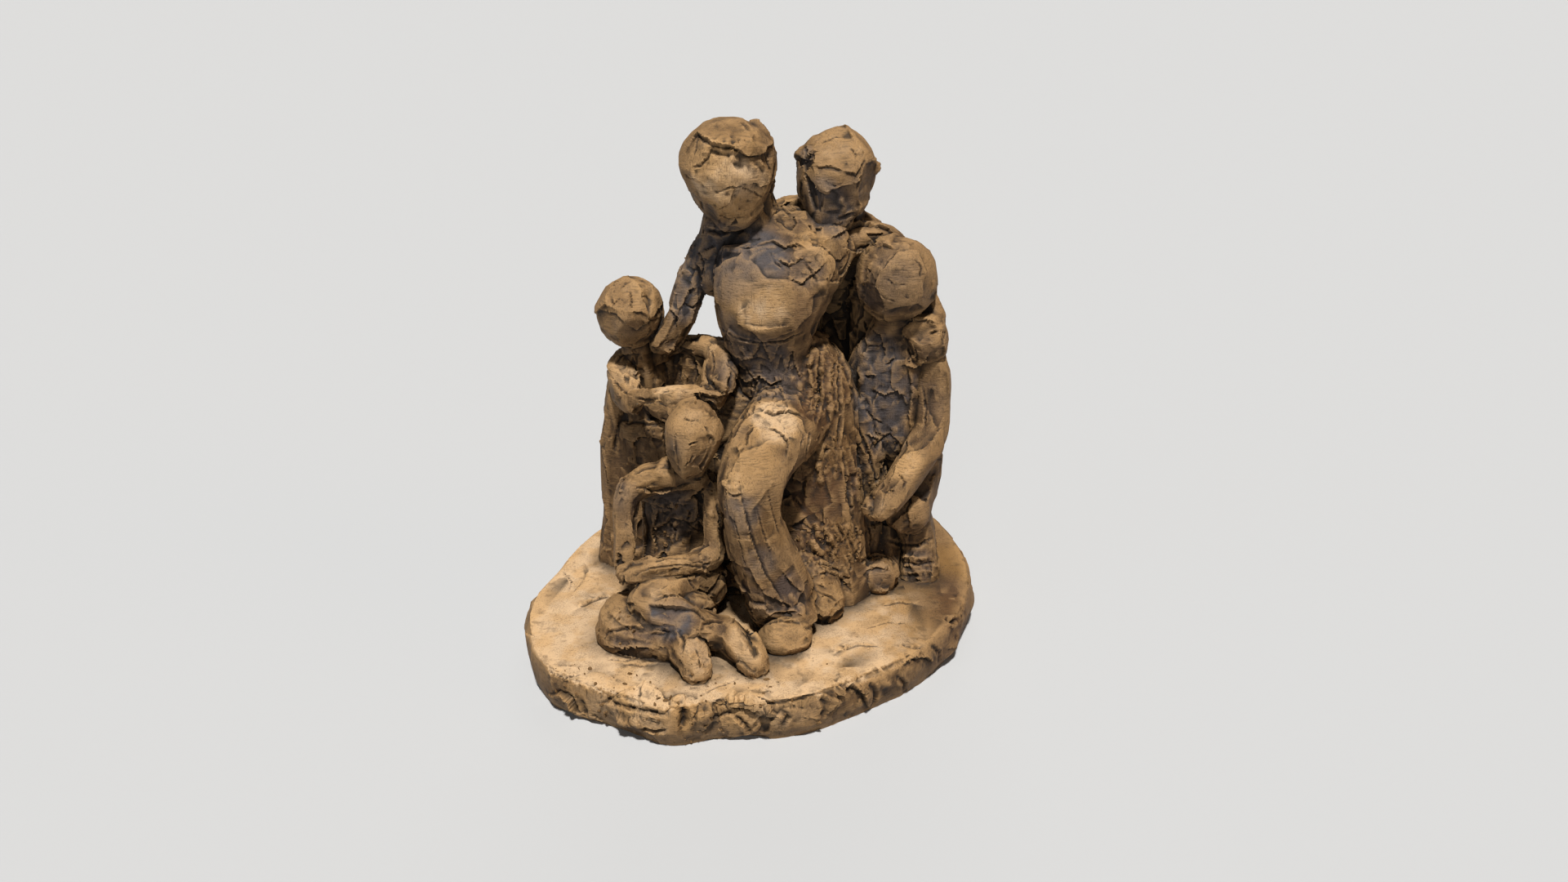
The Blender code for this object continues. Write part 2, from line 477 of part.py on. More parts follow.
def work_surface(group):
    """Tool and finger marks, then as few flat faces as the form allows."""
    soften = group.modifiers.new("soften", "SMOOTH")
    soften.factor = 0.5
    soften.iterations = 2
    for name, kind, depth, width in (
        ("tool marks", "VORONOI", TOOL_DEPTH, TOOL_WIDTH), ("pinches", "CLOUDS", PINCH_DEPTH, PINCH_WIDTH),
    ):
        texture = bpy.data.textures.new(name, kind)
        texture.noise_scale = width
        marks = group.modifiers.new(name, "DISPLACE")
        marks.texture = texture
        marks.texture_coords = "LOCAL"
        marks.strength = depth
        marks.mid_level = 0.5
    faces = sum(len(face.vertices) - 2 for face in group.data.polygons)
    planes = group.modifiers.new("planes", "DECIMATE")
    planes.ratio = SOLID_TRIANGLES / faces


def cut_underside(group, helpers):
    """Cuts the slab's underside flat at z = 0."""
    deep = 4 * BURIED
    mesh = bpy.data.meshes.new("bench_top")
    bench = bmesh.new()
    bmesh.ops.create_cube(bench, size=1.0)
    bmesh.ops.scale(bench, vec=(4 * SLAB_RADIUS, 4 * SLAB_RADIUS, deep), verts=bench.verts)
    bmesh.ops.translate(bench, vec=(0, 0, -deep / 2), verts=bench.verts)
    bench.to_mesh(mesh)
    bench.free()
    cutter = bpy.data.objects.new("bench_top", mesh)
    cutter.hide_render = True
    cutter.display_type = "WIRE"
    helpers.objects.link(cutter)
    cut = group.modifiers.new("underside", "BOOLEAN")
    cut.operation = "DIFFERENCE"
    cut.object = cutter


def main():
    clear_scene()
    work = bpy.data.collections.new("family_group")
    helpers = bpy.data.collections.new("cutters")
    bpy.context.scene.collection.children.link(work)
    bpy.context.scene.collection.children.link(helpers)
    clay = bmesh.new()
    slab(clay)
    for person in (mother, man, older_child, leaning_child, seated_child):
        person(clay)
    group = fused("family_group", clay, work)
    work_surface(group)
    cut_underside(group, helpers)
    group.data.materials.append(clay_material())


main()
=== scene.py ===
"""Family group in modelled clay: the worked surface, its loose crumbs, the clay's colours and the studio."""

import math

import bmesh
import bpy
import numpy as np
from mathutils import Euler, Matrix, Vector
from mathutils.bvhtree import BVHTree
from mathutils.kdtree import KDTree


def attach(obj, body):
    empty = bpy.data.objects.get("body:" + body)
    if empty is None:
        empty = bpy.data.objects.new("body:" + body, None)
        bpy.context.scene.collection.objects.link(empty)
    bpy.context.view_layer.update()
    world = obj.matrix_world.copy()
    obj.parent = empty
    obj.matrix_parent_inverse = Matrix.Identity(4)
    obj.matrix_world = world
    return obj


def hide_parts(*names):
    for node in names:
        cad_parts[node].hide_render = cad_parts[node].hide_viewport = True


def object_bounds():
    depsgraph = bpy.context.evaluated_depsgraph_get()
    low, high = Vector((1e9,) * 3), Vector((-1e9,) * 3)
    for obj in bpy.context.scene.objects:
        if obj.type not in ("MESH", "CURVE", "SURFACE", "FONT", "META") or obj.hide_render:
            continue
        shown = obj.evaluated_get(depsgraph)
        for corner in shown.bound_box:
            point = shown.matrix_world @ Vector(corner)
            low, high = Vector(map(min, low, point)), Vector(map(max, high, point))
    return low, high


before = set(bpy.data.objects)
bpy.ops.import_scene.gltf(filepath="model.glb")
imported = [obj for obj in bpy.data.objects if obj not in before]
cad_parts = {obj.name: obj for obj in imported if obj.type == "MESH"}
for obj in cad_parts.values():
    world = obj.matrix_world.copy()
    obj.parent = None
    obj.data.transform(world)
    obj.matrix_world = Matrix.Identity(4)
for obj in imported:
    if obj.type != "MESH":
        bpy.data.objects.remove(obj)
cad_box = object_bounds()

MM = 0.001

# The viewpoint
PICTURE_WIDTH = 1920
PICTURE_HEIGHT = 1080
FIELD_OF_VIEW = math.radians(45)
LOOK_DOWN = math.radians(24)
CAMERA_PLACE = Vector((0.0207, -0.5656, 0.3658))
FOCAL_PIXELS = PICTURE_HEIGHT / 2 / math.tan(FIELD_OF_VIEW / 2)

# Driving sizes, as in the solid
SLAB_RADIUS = 0.130
SLAB_THICKNESS = 0.025
MOTHER_HEIGHT = 0.270
MAN_HEIGHT = 0.262
OLDER_CHILD_HEIGHT = 0.205
LEANING_CHILD_HEIGHT = 0.183
SEATED_CHILD_HEIGHT = 0.131
ROUND_SIDES = 16
# The slab's outline: direction in degrees, and reach as a share of SLAB_RADIUS
SLAB_OUTLINE = (
    (-180, 0.94), (-165, 1.035), (-150, 1.085), (-136, 1.11), (-120, 1.05), (-106, 1.065), (-98, 0.99),
    (-90, 0.955), (-80, 0.985), (-60, 0.945), (-40, 0.97), (-20, 1.01), (0, 1.055),
    (18, 1.085), (35, 1.115),
    (55, 1.04), (75, 0.97), (95, 0.94), (115, 0.93), (135, 0.91), (154, 0.915), (169, 0.91),
)
# Torn lumps along the slab's side: direction in degrees, reach and height below the slab's top in
# percent of SLAB_RADIUS, then half sizes along the edge, outwards and upwards, and a twist in degrees
SLAB_LUMPS = (
    (-150, 103, -12, 7, 5, 6, 10), (-139, 105, -9, 8, 5, 8, -12), (-124, 101, -1.5, 9, 4.5, 2.6, 8),
    (-117, 99, -12, 12, 6, 6.5, 4), (-100, 98, -7, 6, 4, 5, -14), (-92, 93, -10, 12, 6, 8, -5),
    (-88, 94, -1.5, 10, 4, 2.4, 5), (-76, 94, -12, 9, 5, 6, 8), (-62, 91, -11, 12, 4.5, 7, -8),
    (-42, 92, -10, 15, 5.5, 8, 6), (-22, 96, -10, 15, 5.5, 8, -6), (-4, 100, -10, 13, 5.5, 8, 8),
    (14, 104, -10, 12, 5.5, 7, -6), (38, 104, -11, 13, 5.5, 7, 6), (64, 97, -10, 13, 5, 8, -5),
    (92, 91, -11, 14, 5, 7, 6), (120, 89, -10, 12, 5, 8, -8), (146, 88, -11, 10, 5, 7, 8),
    (171, 88, -10, 8, 5, 8, -8), (-168, 98, -10, 9, 5, 8, 6),
)
# The slab's side: height as a share of the thickness, and reach as a share of the outline
SLAB_SIDE = ((0.00, 0.975), (0.25, 0.995), (0.60, 1.00), (0.86, 0.995), (1.00, 0.975))
# Bands of height where the slab's side and top begin and end
SIDE_FOOT = (1 * MM, 4 * MM)
SIDE_RIM = (19.5 * MM, 23.5 * MM)
TOP_SKIN = (27 * MM, 30 * MM)
BARE_FOOT = (1.5 * MM, 3.5 * MM)
FLAT_FOOT = 1.2 * MM
# The pale part of the slab's top, paler clay with painted light on the top face, fades out towards the right
# between these places
PALE_FADE = (60 * MM, 120 * MM)

# The clay's skin
SKIN_GRAIN = 0.72 * MM
SKIN_TRIANGLES = 196000
EASE_ROUNDS = 5
# Two sizes of spatula marks: how many, share of flattening, and its limit and overlap in mm
SPATULA_PATCHES = ((560, 0.60, 0.8, 0.04), (3000, 0.40, 0.40, 0.06))
PATCH_LEAN = 12 * MM
BOX_MARGIN = 0.05 * MM
LEDGE_STEEP = 0.6 * MM
MARK_STRENGTH = 1.35
CREASE = math.radians(38)
VIEWS = 9
VIEW_REACH = 30 * MM
GROOVE_NARROW = 0.62
SEED = 7

# Marks drawn in the clay: kind of mark, height in mm, width in mm, then points of the picture.
# A ledge is raised on the left of its direction.
MOTHER_HEAD_MARKS = (
    ("ledge", 1.5, 4.0, (
        (848, 172), (856, 164), (862, 170), (872, 178), (885, 180), (900, 181), (912, 189), (930, 190),
    )),
    ("groove", 0.9, 2.0, ((868, 184), (884, 190), (900, 190), (916, 198))),
    ("ledge", 0.9, 3.0, ((930, 190), (938, 181), (950, 174))),
    ("groove", 0.8, 1.0, ((855, 168), (852, 182), (850, 196))),
    ("groove", 0.9, 1.0, ((872, 180), (867, 194), (858, 203), (846, 206))),
    ("ridge", 0.9, 1.2, ((916, 196), (924, 206), (932, 216))),
    ("groove", 0.9, 1.0, ((936, 186), (940, 198), (944, 212))),
    ("ridge", 0.8, 1.2, ((928, 196), (936, 206), (940, 222))),
    ("ridge", 0.5, 2.0, ((866, 262), (861, 244), (855, 225), (845, 207))),
    ("groove", 0.7, 0.9, ((878, 236), (892, 230), (908, 229), (924, 236), (940, 246))),
    ("ridge", 0.6, 1.5, ((868, 212), (876, 222), (890, 224))),
    ("groove", 0.6, 0.8, ((838, 214), (846, 219), (856, 218))),
    ("ridge", 0.7, 1.4, ((852, 192), (860, 186), (872, 188))),
    ("groove", 0.5, 0.8, ((878, 262), (892, 268), (908, 266))),
    ("ridge", 1.0, 2.0, ((918, 150), (926, 148), (934, 152))),
    ("groove", 1.0, 1.6, ((908, 150), (914, 155), (918, 162))),
    ("ridge", 0.6, 1.5, ((864, 158), (878, 152), (892, 154))),
)
MOTHER_HEAD_PITS = (
    (905, 202, 2.6, 1.6), (899, 201, 1.6, 1), (877, 235, 1, 0.8), (890, 238, 1.2, 0.8),
    (900, 240, 1, 0.7), (875, 252, 1, 0.6), (860, 228, 1.4, 0.8), (916, 246, 0.9, 0.6),
    (906, 256, 0.9, 0.5), (866, 200, 1, 0.7), (941, 190, 1.5, 1.2), (852, 210, 1, 0.6),
    (926, 228, 1.1, 0.7),
)
MAN_HEAD_MARKS = (
    ("ledge", 0.45, 5.0, (
        (992, 198), (1002, 205), (1016, 204), (1032, 210), (1048, 213), (1056, 200), (1064, 182),
    )),
    ("ledge", 0.7, 3.0, ((988, 196), (996, 190), (1004, 188))),
    ("groove", 0.8, 1.0, ((1056, 214), (1052, 224), (1046, 237))),
    ("groove", 0.6, 1.0, ((1010, 222), (1022, 228), (1034, 224))),
    ("ridge", 0.7, 1.5, ((1000, 222), (1008, 232), (1020, 238))),
    ("ridge", 0.6, 1.4, ((1028, 240), (1034, 252), (1030, 264))),
    ("groove", 1.0, 1.4, ((984, 178), (988, 186), (983, 196))),
    ("ridge", 0.8, 1.6, ((1070, 194), (1076, 202), (1074, 212))),
    ("groove", 0.6, 0.9, ((1006, 176), (1022, 168), (1036, 170))),
    ("groove", 0.5, 0.8, ((1040, 180), (1048, 190), (1046, 200))),
)
SHOULDER_MARKS = (
    ("ledge", 1.2, 3.0, ((1018, 292), (1034, 282), (1052, 276), (1076, 277), (1098, 288))),
    ("groove", 1.0, 1.2, ((1048, 304), (1062, 302), (1076, 298))),
    ("ledge", 1.0, 2.5, ((1098, 290), (1076, 301), (1046, 309), (1026, 300))),
    ("groove", 1.2, 1.6, ((1026, 268), (1044, 262), (1066, 264), (1090, 276))),
    ("ridge", 0.9, 1.6, ((1050, 256), (1070, 258), (1088, 268))),
    ("ridge", 0.8, 1.8, ((950, 250), (960, 244), (970, 256))),
    ("groove", 0.7, 1.2, ((948, 262), (958, 256), (968, 266))),
)
TORSO_MARKS = (
    ("ledge", 0.9, 3.0, ((930, 300), (946, 296), (960, 304), (978, 300), (990, 306))),
    ("ledge", 0.9, 2.6, ((952, 318), (966, 326), (980, 318), (996, 322))),
    ("ledge", 1.0, 2.6, ((966, 340), (980, 348), (992, 338), (1004, 330), (1012, 318))),
    ("groove", 1.0, 1.0, ((986, 322), (994, 334), (1002, 347))),
    ("groove", 0.7, 0.9, ((944, 310), (950, 322), (962, 330))),
    ("ridge", 0.8, 1.4, ((960, 284), (976, 290), (990, 286), (1006, 292))),
    ("groove", 0.6, 0.9, ((900, 300), (912, 304), (926, 302))),
    ("ridge", 0.3, 2.0, ((884, 336), (900, 333), (920, 335), (944, 333), (964, 337))),
    ("ridge", 0.6, 1.4, ((1000, 300), (1010, 310), (1020, 306))),
    ("ridge", 0.7, 1.6, ((1004, 346), (1012, 356), (1008, 372))),
    ("groove", 0.6, 0.9, ((888, 296), (882, 312), (884, 330))),
    ("ridge", 0.25, 1.6, ((962, 346), (971, 360), (973, 380), (966, 396))),
    ("ledge", 0.45, 3.0, ((966, 398), (944, 402), (924, 401), (908, 396))),
    ("groove", 0.7, 1.1, ((880, 400), (900, 414), (930, 420), (960, 418), (984, 406))),
    ("ledge", 0.9, 2.4, ((894, 432), (910, 440), (930, 436), (946, 444))),
    ("ledge", 1.0, 2.2, ((902, 458), (916, 468), (930, 460), (944, 470), (960, 464))),
    ("groove", 0.9, 1.0, ((918, 456), (926, 468), (922, 484))),
    ("groove", 0.8, 1.0, ((946, 460), (952, 474), (962, 484))),
    ("ridge", 0.8, 1.3, ((930, 476), (944, 484), (960, 478))),
    ("ledge", 1.2, 2.4, ((966, 490), (944, 494), (920, 495), (904, 490))),
    ("groove", 0.7, 1.0, ((890, 446), (900, 456), (904, 470))),
    ("ridge", 0.7, 1.4, ((970, 440), (966, 456), (974, 470))),
)
ARM_MARKS = (
    ("groove", 1.2, 1.6, ((866, 282), (882, 286), (898, 282))),
    ("ledge", 1.0, 2.6, ((850, 298), (842, 316), (836, 336), (826, 356))),
    ("groove", 0.7, 1.0, ((856, 306), (862, 322), (858, 342))),
    ("ridge", 0.8, 1.5, ((846, 340), (852, 352), (846, 366))),
    ("groove", 0.7, 1.0, ((838, 372), (848, 378), (856, 370))),
    ("ledge", 0.8, 2.0, ((820, 376), (830, 388), (828, 402))),
)
OLDER_CHILD_MARKS = (
    ("ridge", 0.7, 1.5, ((1050, 350), (1058, 360), (1062, 374))),
    ("ridge", 0.6, 1.5, ((1092, 302), (1104, 298), (1118, 304))),
    ("ridge", 0.4, 1.6, ((1064, 322), (1080, 330), (1098, 326), (1116, 334), (1134, 330))),
    ("groove", 0.6, 0.9, ((1084, 340), (1096, 350), (1112, 348))),
    ("ridge", 0.7, 1.8, ((1140, 344), (1146, 356), (1142, 368))),
    ("groove", 0.6, 0.9, ((1072, 356), (1084, 366), (1100, 370))),
    ("ridge", 0.4, 2.0, ((1070, 376), (1090, 384), (1112, 384))),
    ("groove", 0.5, 0.8, ((1120, 316), (1128, 328), (1126, 342))),
    ("ledge", 1.0, 2.4, ((1106, 400), (1116, 392), (1134, 392), (1150, 398))),
    ("groove", 1.0, 1.2, ((1138, 409), (1150, 405), (1160, 410))),
    ("groove", 1.0, 1.0, ((1112, 426), (1114, 436), (1112, 446))),
    ("groove", 0.9, 1.0, ((1120, 426), (1123, 436), (1122, 446))),
    ("ledge", 1.1, 2.0, ((1106, 446), (1118, 450), (1130, 444), (1140, 430))),
    ("groove", 0.9, 1.0, ((1058, 394), (1064, 412), (1062, 440))),
    ("ledge", 0.8, 2.4, ((1064, 400), (1078, 410), (1084, 430), (1078, 452))),
    ("groove", 0.9, 0.9, ((1084, 448), (1092, 442), (1098, 438))),
    ("ridge", 0.8, 1.4, ((1050, 448), (1056, 462), (1050, 478))),
    ("ledge", 0.8, 2.4, ((1066, 476), (1082, 484), (1098, 478), (1110, 486))),
    ("groove", 0.8, 1.0, ((1060, 500), (1070, 514), (1084, 520))),
    ("ledge", 0.9, 2.4, ((1058, 530), (1074, 538), (1090, 530), (1100, 540))),
    ("ledge", 0.9, 3.0, ((1112, 450), (1116, 480), (1112, 510), (1116, 530))),
    ("groove", 0.6, 1.0, ((1130, 470), (1134, 500), (1132, 526))),
    ("ledge", 0.8, 2.6, ((1068, 600), (1080, 584), (1100, 566), (1120, 552))),
    ("groove", 1.0, 0.8, ((1084, 603), (1090, 601), (1097, 602))),
    ("ledge", 0.8, 2.4, ((1064, 606), (1078, 612), (1082, 628), (1076, 640))),
    ("groove", 0.7, 1.0, ((1100, 580), (1108, 590), (1106, 600))),
    ("ledge", 0.9, 2.6, ((1092, 640), (1104, 652), (1120, 654), (1136, 646))),
    ("groove", 1.2, 1.6, ((1088, 662), (1104, 668), (1124, 668), (1142, 658))),
    ("ridge", 1.0, 1.4, ((1104, 680), (1120, 684), (1140, 682))),
    ("groove", 0.9, 1.2, ((1106, 688), (1124, 692), (1144, 688))),
    ("ridge", 0.9, 1.4, ((1104, 700), (1122, 700), (1144, 698))),
    ("groove", 1.4, 1.6, ((1054, 690), (1060, 684), (1074, 681), (1090, 684))),
    ("groove", 1.2, 1.4, ((1098, 690), (1101, 704), (1098, 720))),
    ("ledge", 0.7, 2.4, ((1060, 700), (1074, 694), (1090, 700))),
)
LEANING_CHILD_MARKS = (
    ("ledge", 0.45, 5.0, ((736, 379), (755, 384), (766, 396), (780, 404), (796, 392), (815, 385))),
    ("groove", 0.7, 0.9, ((771, 356), (773, 366), (773, 376), (766, 381))),
    ("groove", 0.5, 0.8, ((748, 361), (751, 373), (759, 366), (768, 371))),
    ("groove", 0.5, 0.9, ((749, 350), (755, 345), (761, 343))),
    ("groove", 0.4, 0.9, ((760, 353), (767, 347), (776, 344))),
    ("ridge", 0.3, 1.5, ((778, 350), (786, 358), (790, 370))),
    ("ridge", 0.6, 1.4, ((742, 360), (744, 372), (750, 380))),
    ("ledge", 1.0, 3.0, ((752, 446), (762, 434), (778, 432), (792, 434))),
    ("ledge", 1.2, 3.0, ((782, 436), (778, 458), (785, 470), (800, 475))),
    ("ledge", 1.0, 3.0, ((776, 486), (762, 480), (747, 460))),
    ("ridge", 0.8, 1.6, ((766, 490), (770, 500), (780, 508))),
    ("ledge", 1.2, 2.6, ((850, 481), (830, 480), (806, 480), (780, 476))),
    ("groove", 0.9, 1.2, ((780, 488), (796, 490), (812, 486))),
    ("ledge", 0.8, 2.0, ((786, 492), (796, 500), (812, 496))),
    ("ledge", 1.1, 2.4, ((892, 418), (876, 416), (850, 414), (816, 412))),
    ("groove", 1.2, 1.2, ((866, 464), (878, 474), (892, 489))),
    ("ridge", 1.1, 1.3, ((864, 456), (878, 466), (894, 480))),
    ("groove", 0.8, 1.0, ((870, 428), (874, 444), (870, 458))),
    ("ledge", 1.0, 2.4, ((846, 426), (852, 440), (856, 458), (850, 472))),
    ("groove", 0.9, 1.2, ((818, 428), (830, 434), (844, 430))),
    ("ledge", 0.9, 3.0, ((764, 520), (780, 516), (800, 520), (814, 516))),
    ("ledge", 0.9, 2.6, ((780, 552), (776, 542), (784, 534), (798, 536))),
    ("groove", 1.3, 1.8, ((758, 518), (754, 534), (752, 556))),
    ("ledge", 0.9, 3.0, ((738, 492), (742, 520), (736, 544), (742, 570), (746, 600))),
    ("groove", 0.8, 1.2, ((726, 500), (730, 530), (726, 556))),
    ("groove", 0.8, 1.2, ((728, 580), (732, 606), (728, 640))),
    ("ledge", 0.8, 2.4, ((740, 610), (744, 636), (738, 664))),
)
SEATED_CHILD_MARKS = (
    ("ledge", 0.4, 4.0, ((830, 572), (828, 556), (826, 538), (830, 522))),
    ("groove", 0.8, 0.9, ((842, 546), (849, 543), (856, 540))),
    ("groove", 0.7, 0.9, ((839, 571), (846, 564), (851, 555))),
    ("ridge", 0.7, 1.3, ((836, 534), (846, 528), (858, 530))),
    ("groove", 0.6, 0.9, ((862, 520), (870, 532), (868, 546))),
    ("ridge", 0.6, 1.3, ((848, 508), (860, 504), (872, 512))),
    ("groove", 0.6, 0.8, ((836, 512), (846, 516), (858, 514))),
    ("ledge", 1.3, 2.6, ((846, 591), (826, 598), (800, 602), (776, 596))),
    ("groove", 0.8, 1.2, ((778, 580), (790, 574), (806, 572))),
    ("ledge", 0.9, 2.6, ((756, 600), (762, 588), (776, 578))),
    ("ledge", 1.1, 2.0, ((806, 676), (800, 650), (804, 634), (806, 620))),
    ("ledge", 0.9, 2.0, ((798, 616), (814, 621), (830, 615), (846, 618))),
    ("groove", 1.0, 1.0, ((846, 624), (842, 640), (850, 648), (861, 651))),
    ("groove", 0.9, 1.0, ((820, 640), (828, 650), (826, 664))),
    ("groove", 1.1, 1.4, ((878, 618), (881, 634), (880, 652))),
    ("ridge", 0.8, 1.3, ((868, 600), (872, 622), (868, 646))),
    ("ledge", 1.0, 2.4, ((758, 702), (780, 686), (806, 680), (840, 676), (870, 668))),
    ("ledge", 1.0, 2.2, ((884, 705), (860, 696), (830, 692), (796, 697), (776, 706))),
    ("groove", 0.8, 1.0, ((800, 688), (820, 684), (842, 684))),
    ("groove", 0.9, 1.2, ((752, 690), (758, 702), (756, 716))),
    ("groove", 0.9, 1.2, ((802, 736), (818, 730), (836, 729))),
    ("ledge", 1.2, 3.0, ((796, 741), (820, 744), (850, 748), (868, 764))),
    ("groove", 1.4, 1.2, ((858, 774), (862, 764), (872, 761), (886, 762))),
    ("ridge", 0.9, 1.6, ((850, 734), (874, 740), (900, 748))),
    ("groove", 1.0, 1.0, ((841, 706), (850, 720), (864, 726), (880, 731))),
    ("groove", 1.0, 1.4, ((741, 777), (756, 771), (776, 768), (790, 775))),
    ("ledge", 0.9, 2.2, ((798, 776), (812, 776), (826, 772))),
    ("ledge", 0.9, 2.4, ((740, 790), (760, 794), (784, 792), (806, 796))),
    ("groove", 1.3, 1.6, ((832, 774), (838, 784), (834, 800))),
    ("ledge", 1.2, 2.4, ((838, 782), (852, 778), (866, 782), (872, 796))),
    ("groove", 0.6, 1.0, ((852, 794), (858, 804), (856, 820))),
    ("ledge", 1.2, 2.4, ((896, 762), (908, 756), (920, 764), (928, 784))),
    ("ledge", 1.2, 2.6, ((710, 744), (726, 736), (742, 731), (760, 736))),
)
MOTHER_LEG_MARKS = (
    ("ledge", 0.8, 3.0, ((930, 500), (946, 508), (966, 504), (984, 510))),
    ("groove", 0.9, 1.0, ((926, 520), (916, 532), (914, 546), (901, 560))),
    ("ledge", 0.9, 2.6, ((940, 524), (956, 530), (966, 544), (962, 562))),
    ("groove", 0.6, 0.9, ((976, 520), (984, 534), (980, 552))),
    ("ridge", 0.8, 1.5, ((884, 590), (894, 598), (908, 596))),
    ("groove", 0.8, 1.0, ((886, 602), (898, 608), (912, 604))),
    ("ledge", 0.8, 2.4, ((880, 572), (890, 566), (904, 570))),
    ("ledge", 1.1, 3.4, ((962, 742), (936, 702), (920, 660), (906, 604))),
    ("groove", 0.5, 0.8, ((926, 620), (934, 650), (946, 686))),
    ("groove", 0.5, 0.8, ((940, 600), (948, 634), (958, 668))),
    ("groove", 0.5, 0.8, ((898, 630), (906, 664), (914, 700))),
    ("ledge", 0.8, 2.4, ((958, 700), (970, 716), (986, 728))),
    ("ledge", 1.2, 2.6, ((934, 758), (950, 750), (970, 748), (984, 756))),
    ("groove", 1.0, 1.2, ((940, 764), (956, 760), (976, 762))),
    ("ridge", 1.0, 1.6, ((966, 724), (976, 738), (984, 750))),
    ("groove", 1.6, 1.6, ((986, 770), (1004, 764), (1022, 756), (1038, 750))),
    ("ledge", 1.0, 2.6, ((996, 706), (1012, 700), (1030, 708), (1040, 720))),
    ("groove", 0.9, 1.0, ((1000, 724), (1014, 730), (1028, 738))),
)
SEAT_MARKS = (
    ("ridge", 1.4, 1.8, ((996, 420), (990, 446), (994, 474), (988, 500))),
    ("groove", 1.4, 1.6, ((1006, 424), (1002, 452), (1004, 486), (998, 520))),
    ("ridge", 1.2, 1.6, ((1018, 440), (1014, 470), (1018, 500), (1012, 530))),
    ("groove", 1.6, 1.8, ((1028, 430), (1026, 470), (1030, 510), (1024, 550))),
    ("ridge", 1.2, 1.5, ((1008, 540), (1002, 570), (1006, 600))),
    ("groove", 1.2, 1.4, ((992, 530), (986, 560), (990, 596))),
    ("ridge", 1.2, 1.8, ((1040, 516), (1056, 548), (1068, 590), (1074, 630))),
    ("groove", 1.4, 1.5, ((1048, 520), (1064, 556), (1074, 600))),
    ("ridge", 1.1, 1.6, ((1036, 540), (1046, 580), (1054, 630))),
    ("groove", 1.4, 1.6, ((1032, 556), (1038, 596), (1044, 640))),
    ("groove", 1.4, 1.4, ((1024, 642), (1030, 652), (1036, 666))),
    ("ridge", 1.4, 1.4, ((1012, 648), (1018, 660), (1024, 672))),
    ("groove", 1.2, 1.3, ((1000, 690), (1014, 694), (1030, 700))),
    ("ridge", 1.4, 1.6, ((992, 660), (1000, 672), (1010, 682))),
    ("groove", 1.4, 1.4, ((1036, 676), (1042, 690), (1040, 706))),
    ("ridge", 1.2, 1.6, ((996, 640), (1004, 648), (1000, 660))),
    ("ledge", 1.0, 2.0, ((1046, 640), (1052, 664), (1046, 690))),
    ("groove", 1.2, 1.2, ((1062, 644), (1066, 660), (1060, 676))),
)
SLAB_MARKS = (
    ("groove", 1.0, 1.0, ((670, 820), (680, 826), (690, 830), (711, 826))),
    ("groove", 0.7, 0.7, ((675, 813), (694, 815), (712, 816))),
    ("ledge", 2.2, 4.0, ((708, 872), (700, 854), (686, 847), (674, 852))),
    ("groove", 1.6, 3.0, ((712, 858), (716, 872), (712, 888))),
    ("ledge", 2.6, 5.0, ((822, 866), (804, 848), (788, 842), (766, 848), (740, 862))),
    ("groove", 1.3, 2.0, ((744, 856), (768, 865), (794, 871), (820, 876))),
    ("ridge", 2.0, 2.6, ((824, 861), (832, 857), (842, 859))),
    ("groove", 2.6, 3.2, ((835, 862), (838, 880), (832, 898))),
    ("groove", 1.6, 1.6, ((782, 890), (802, 896), (818, 894))),
    ("ridge", 2.0, 3.2, ((756, 876), (772, 884), (790, 884))),
    ("ridge", 1.8, 3.0, ((846, 872), (860, 876), (876, 872))),
    ("ledge", 2.6, 5.0, ((950, 872), (934, 858), (906, 853), (888, 856), (868, 866))),
    ("groove", 1.2, 2.0, ((864, 880), (884, 874), (904, 871))),
    ("groove", 1.4, 2.0, ((900, 876), (912, 886), (918, 896))),
    ("ledge", 2.0, 4.0, ((1000, 850), (976, 858), (950, 863), (926, 864))),
    ("groove", 1.2, 2.0, ((928, 876), (938, 880), (952, 878))),
    ("groove", 1.2, 2.6, ((958, 866), (964, 878), (957, 890))),
    ("groove", 0.9, 1.0, ((859, 851), (872, 844), (888, 838), (906, 830))),
    ("groove", 0.5, 0.6, ((1000, 776), (995, 790), (995, 804), (998, 820))),
    ("ledge", 2.0, 4.0, ((1018, 870), (1026, 850), (1040, 840), (1056, 848), (1062, 866))),
    ("groove", 1.2, 2.4, ((1004, 852), (1010, 864), (1006, 880))),
    ("groove", 1.2, 2.4, ((1064, 836), (1072, 850), (1068, 866))),
    ("ridge", 1.8, 2.6, ((1070, 840), (1080, 834), (1092, 838))),
    ("groove", 1.0, 2.2, ((1098, 826), (1108, 838), (1106, 852))),
    ("ledge", 1.6, 3.4, ((1104, 816), (1118, 806), (1132, 804), (1144, 812))),
    ("groove", 2.0, 2.0, ((1108, 790), (1118, 794), (1130, 792))),
    ("groove", 1.0, 2.2, ((1140, 790), (1150, 800), (1150, 816))),
    ("groove", 2.0, 2.2, ((1156, 756), (1166, 762), (1174, 758))),
    ("groove", 2.0, 2.2, ((1168, 778), (1176, 784), (1184, 776))),
    ("ledge", 0.6, 2.4, ((1080, 742), (1100, 738), (1124, 740))),
    ("ledge", 0.5, 3.0, ((1020, 800), (1050, 790), (1080, 792))),
    ("groove", 0.5, 1.0, ((1060, 770), (1086, 762), (1112, 764))),
    ("ledge", 0.5, 2.4, ((720, 700), (712, 716), (700, 728))),
    ("groove", 0.5, 1.0, ((690, 700), (700, 712), (696, 726))),
    ("ledge", 0.8, 2.0, ((760, 812), (786, 816), (812, 812))),
    ("groove", 0.6, 1.0, ((740, 806), (764, 810), (790, 806))),
    ("groove", 1.6, 2.0, ((700, 880), (724, 884), (746, 892))),
)
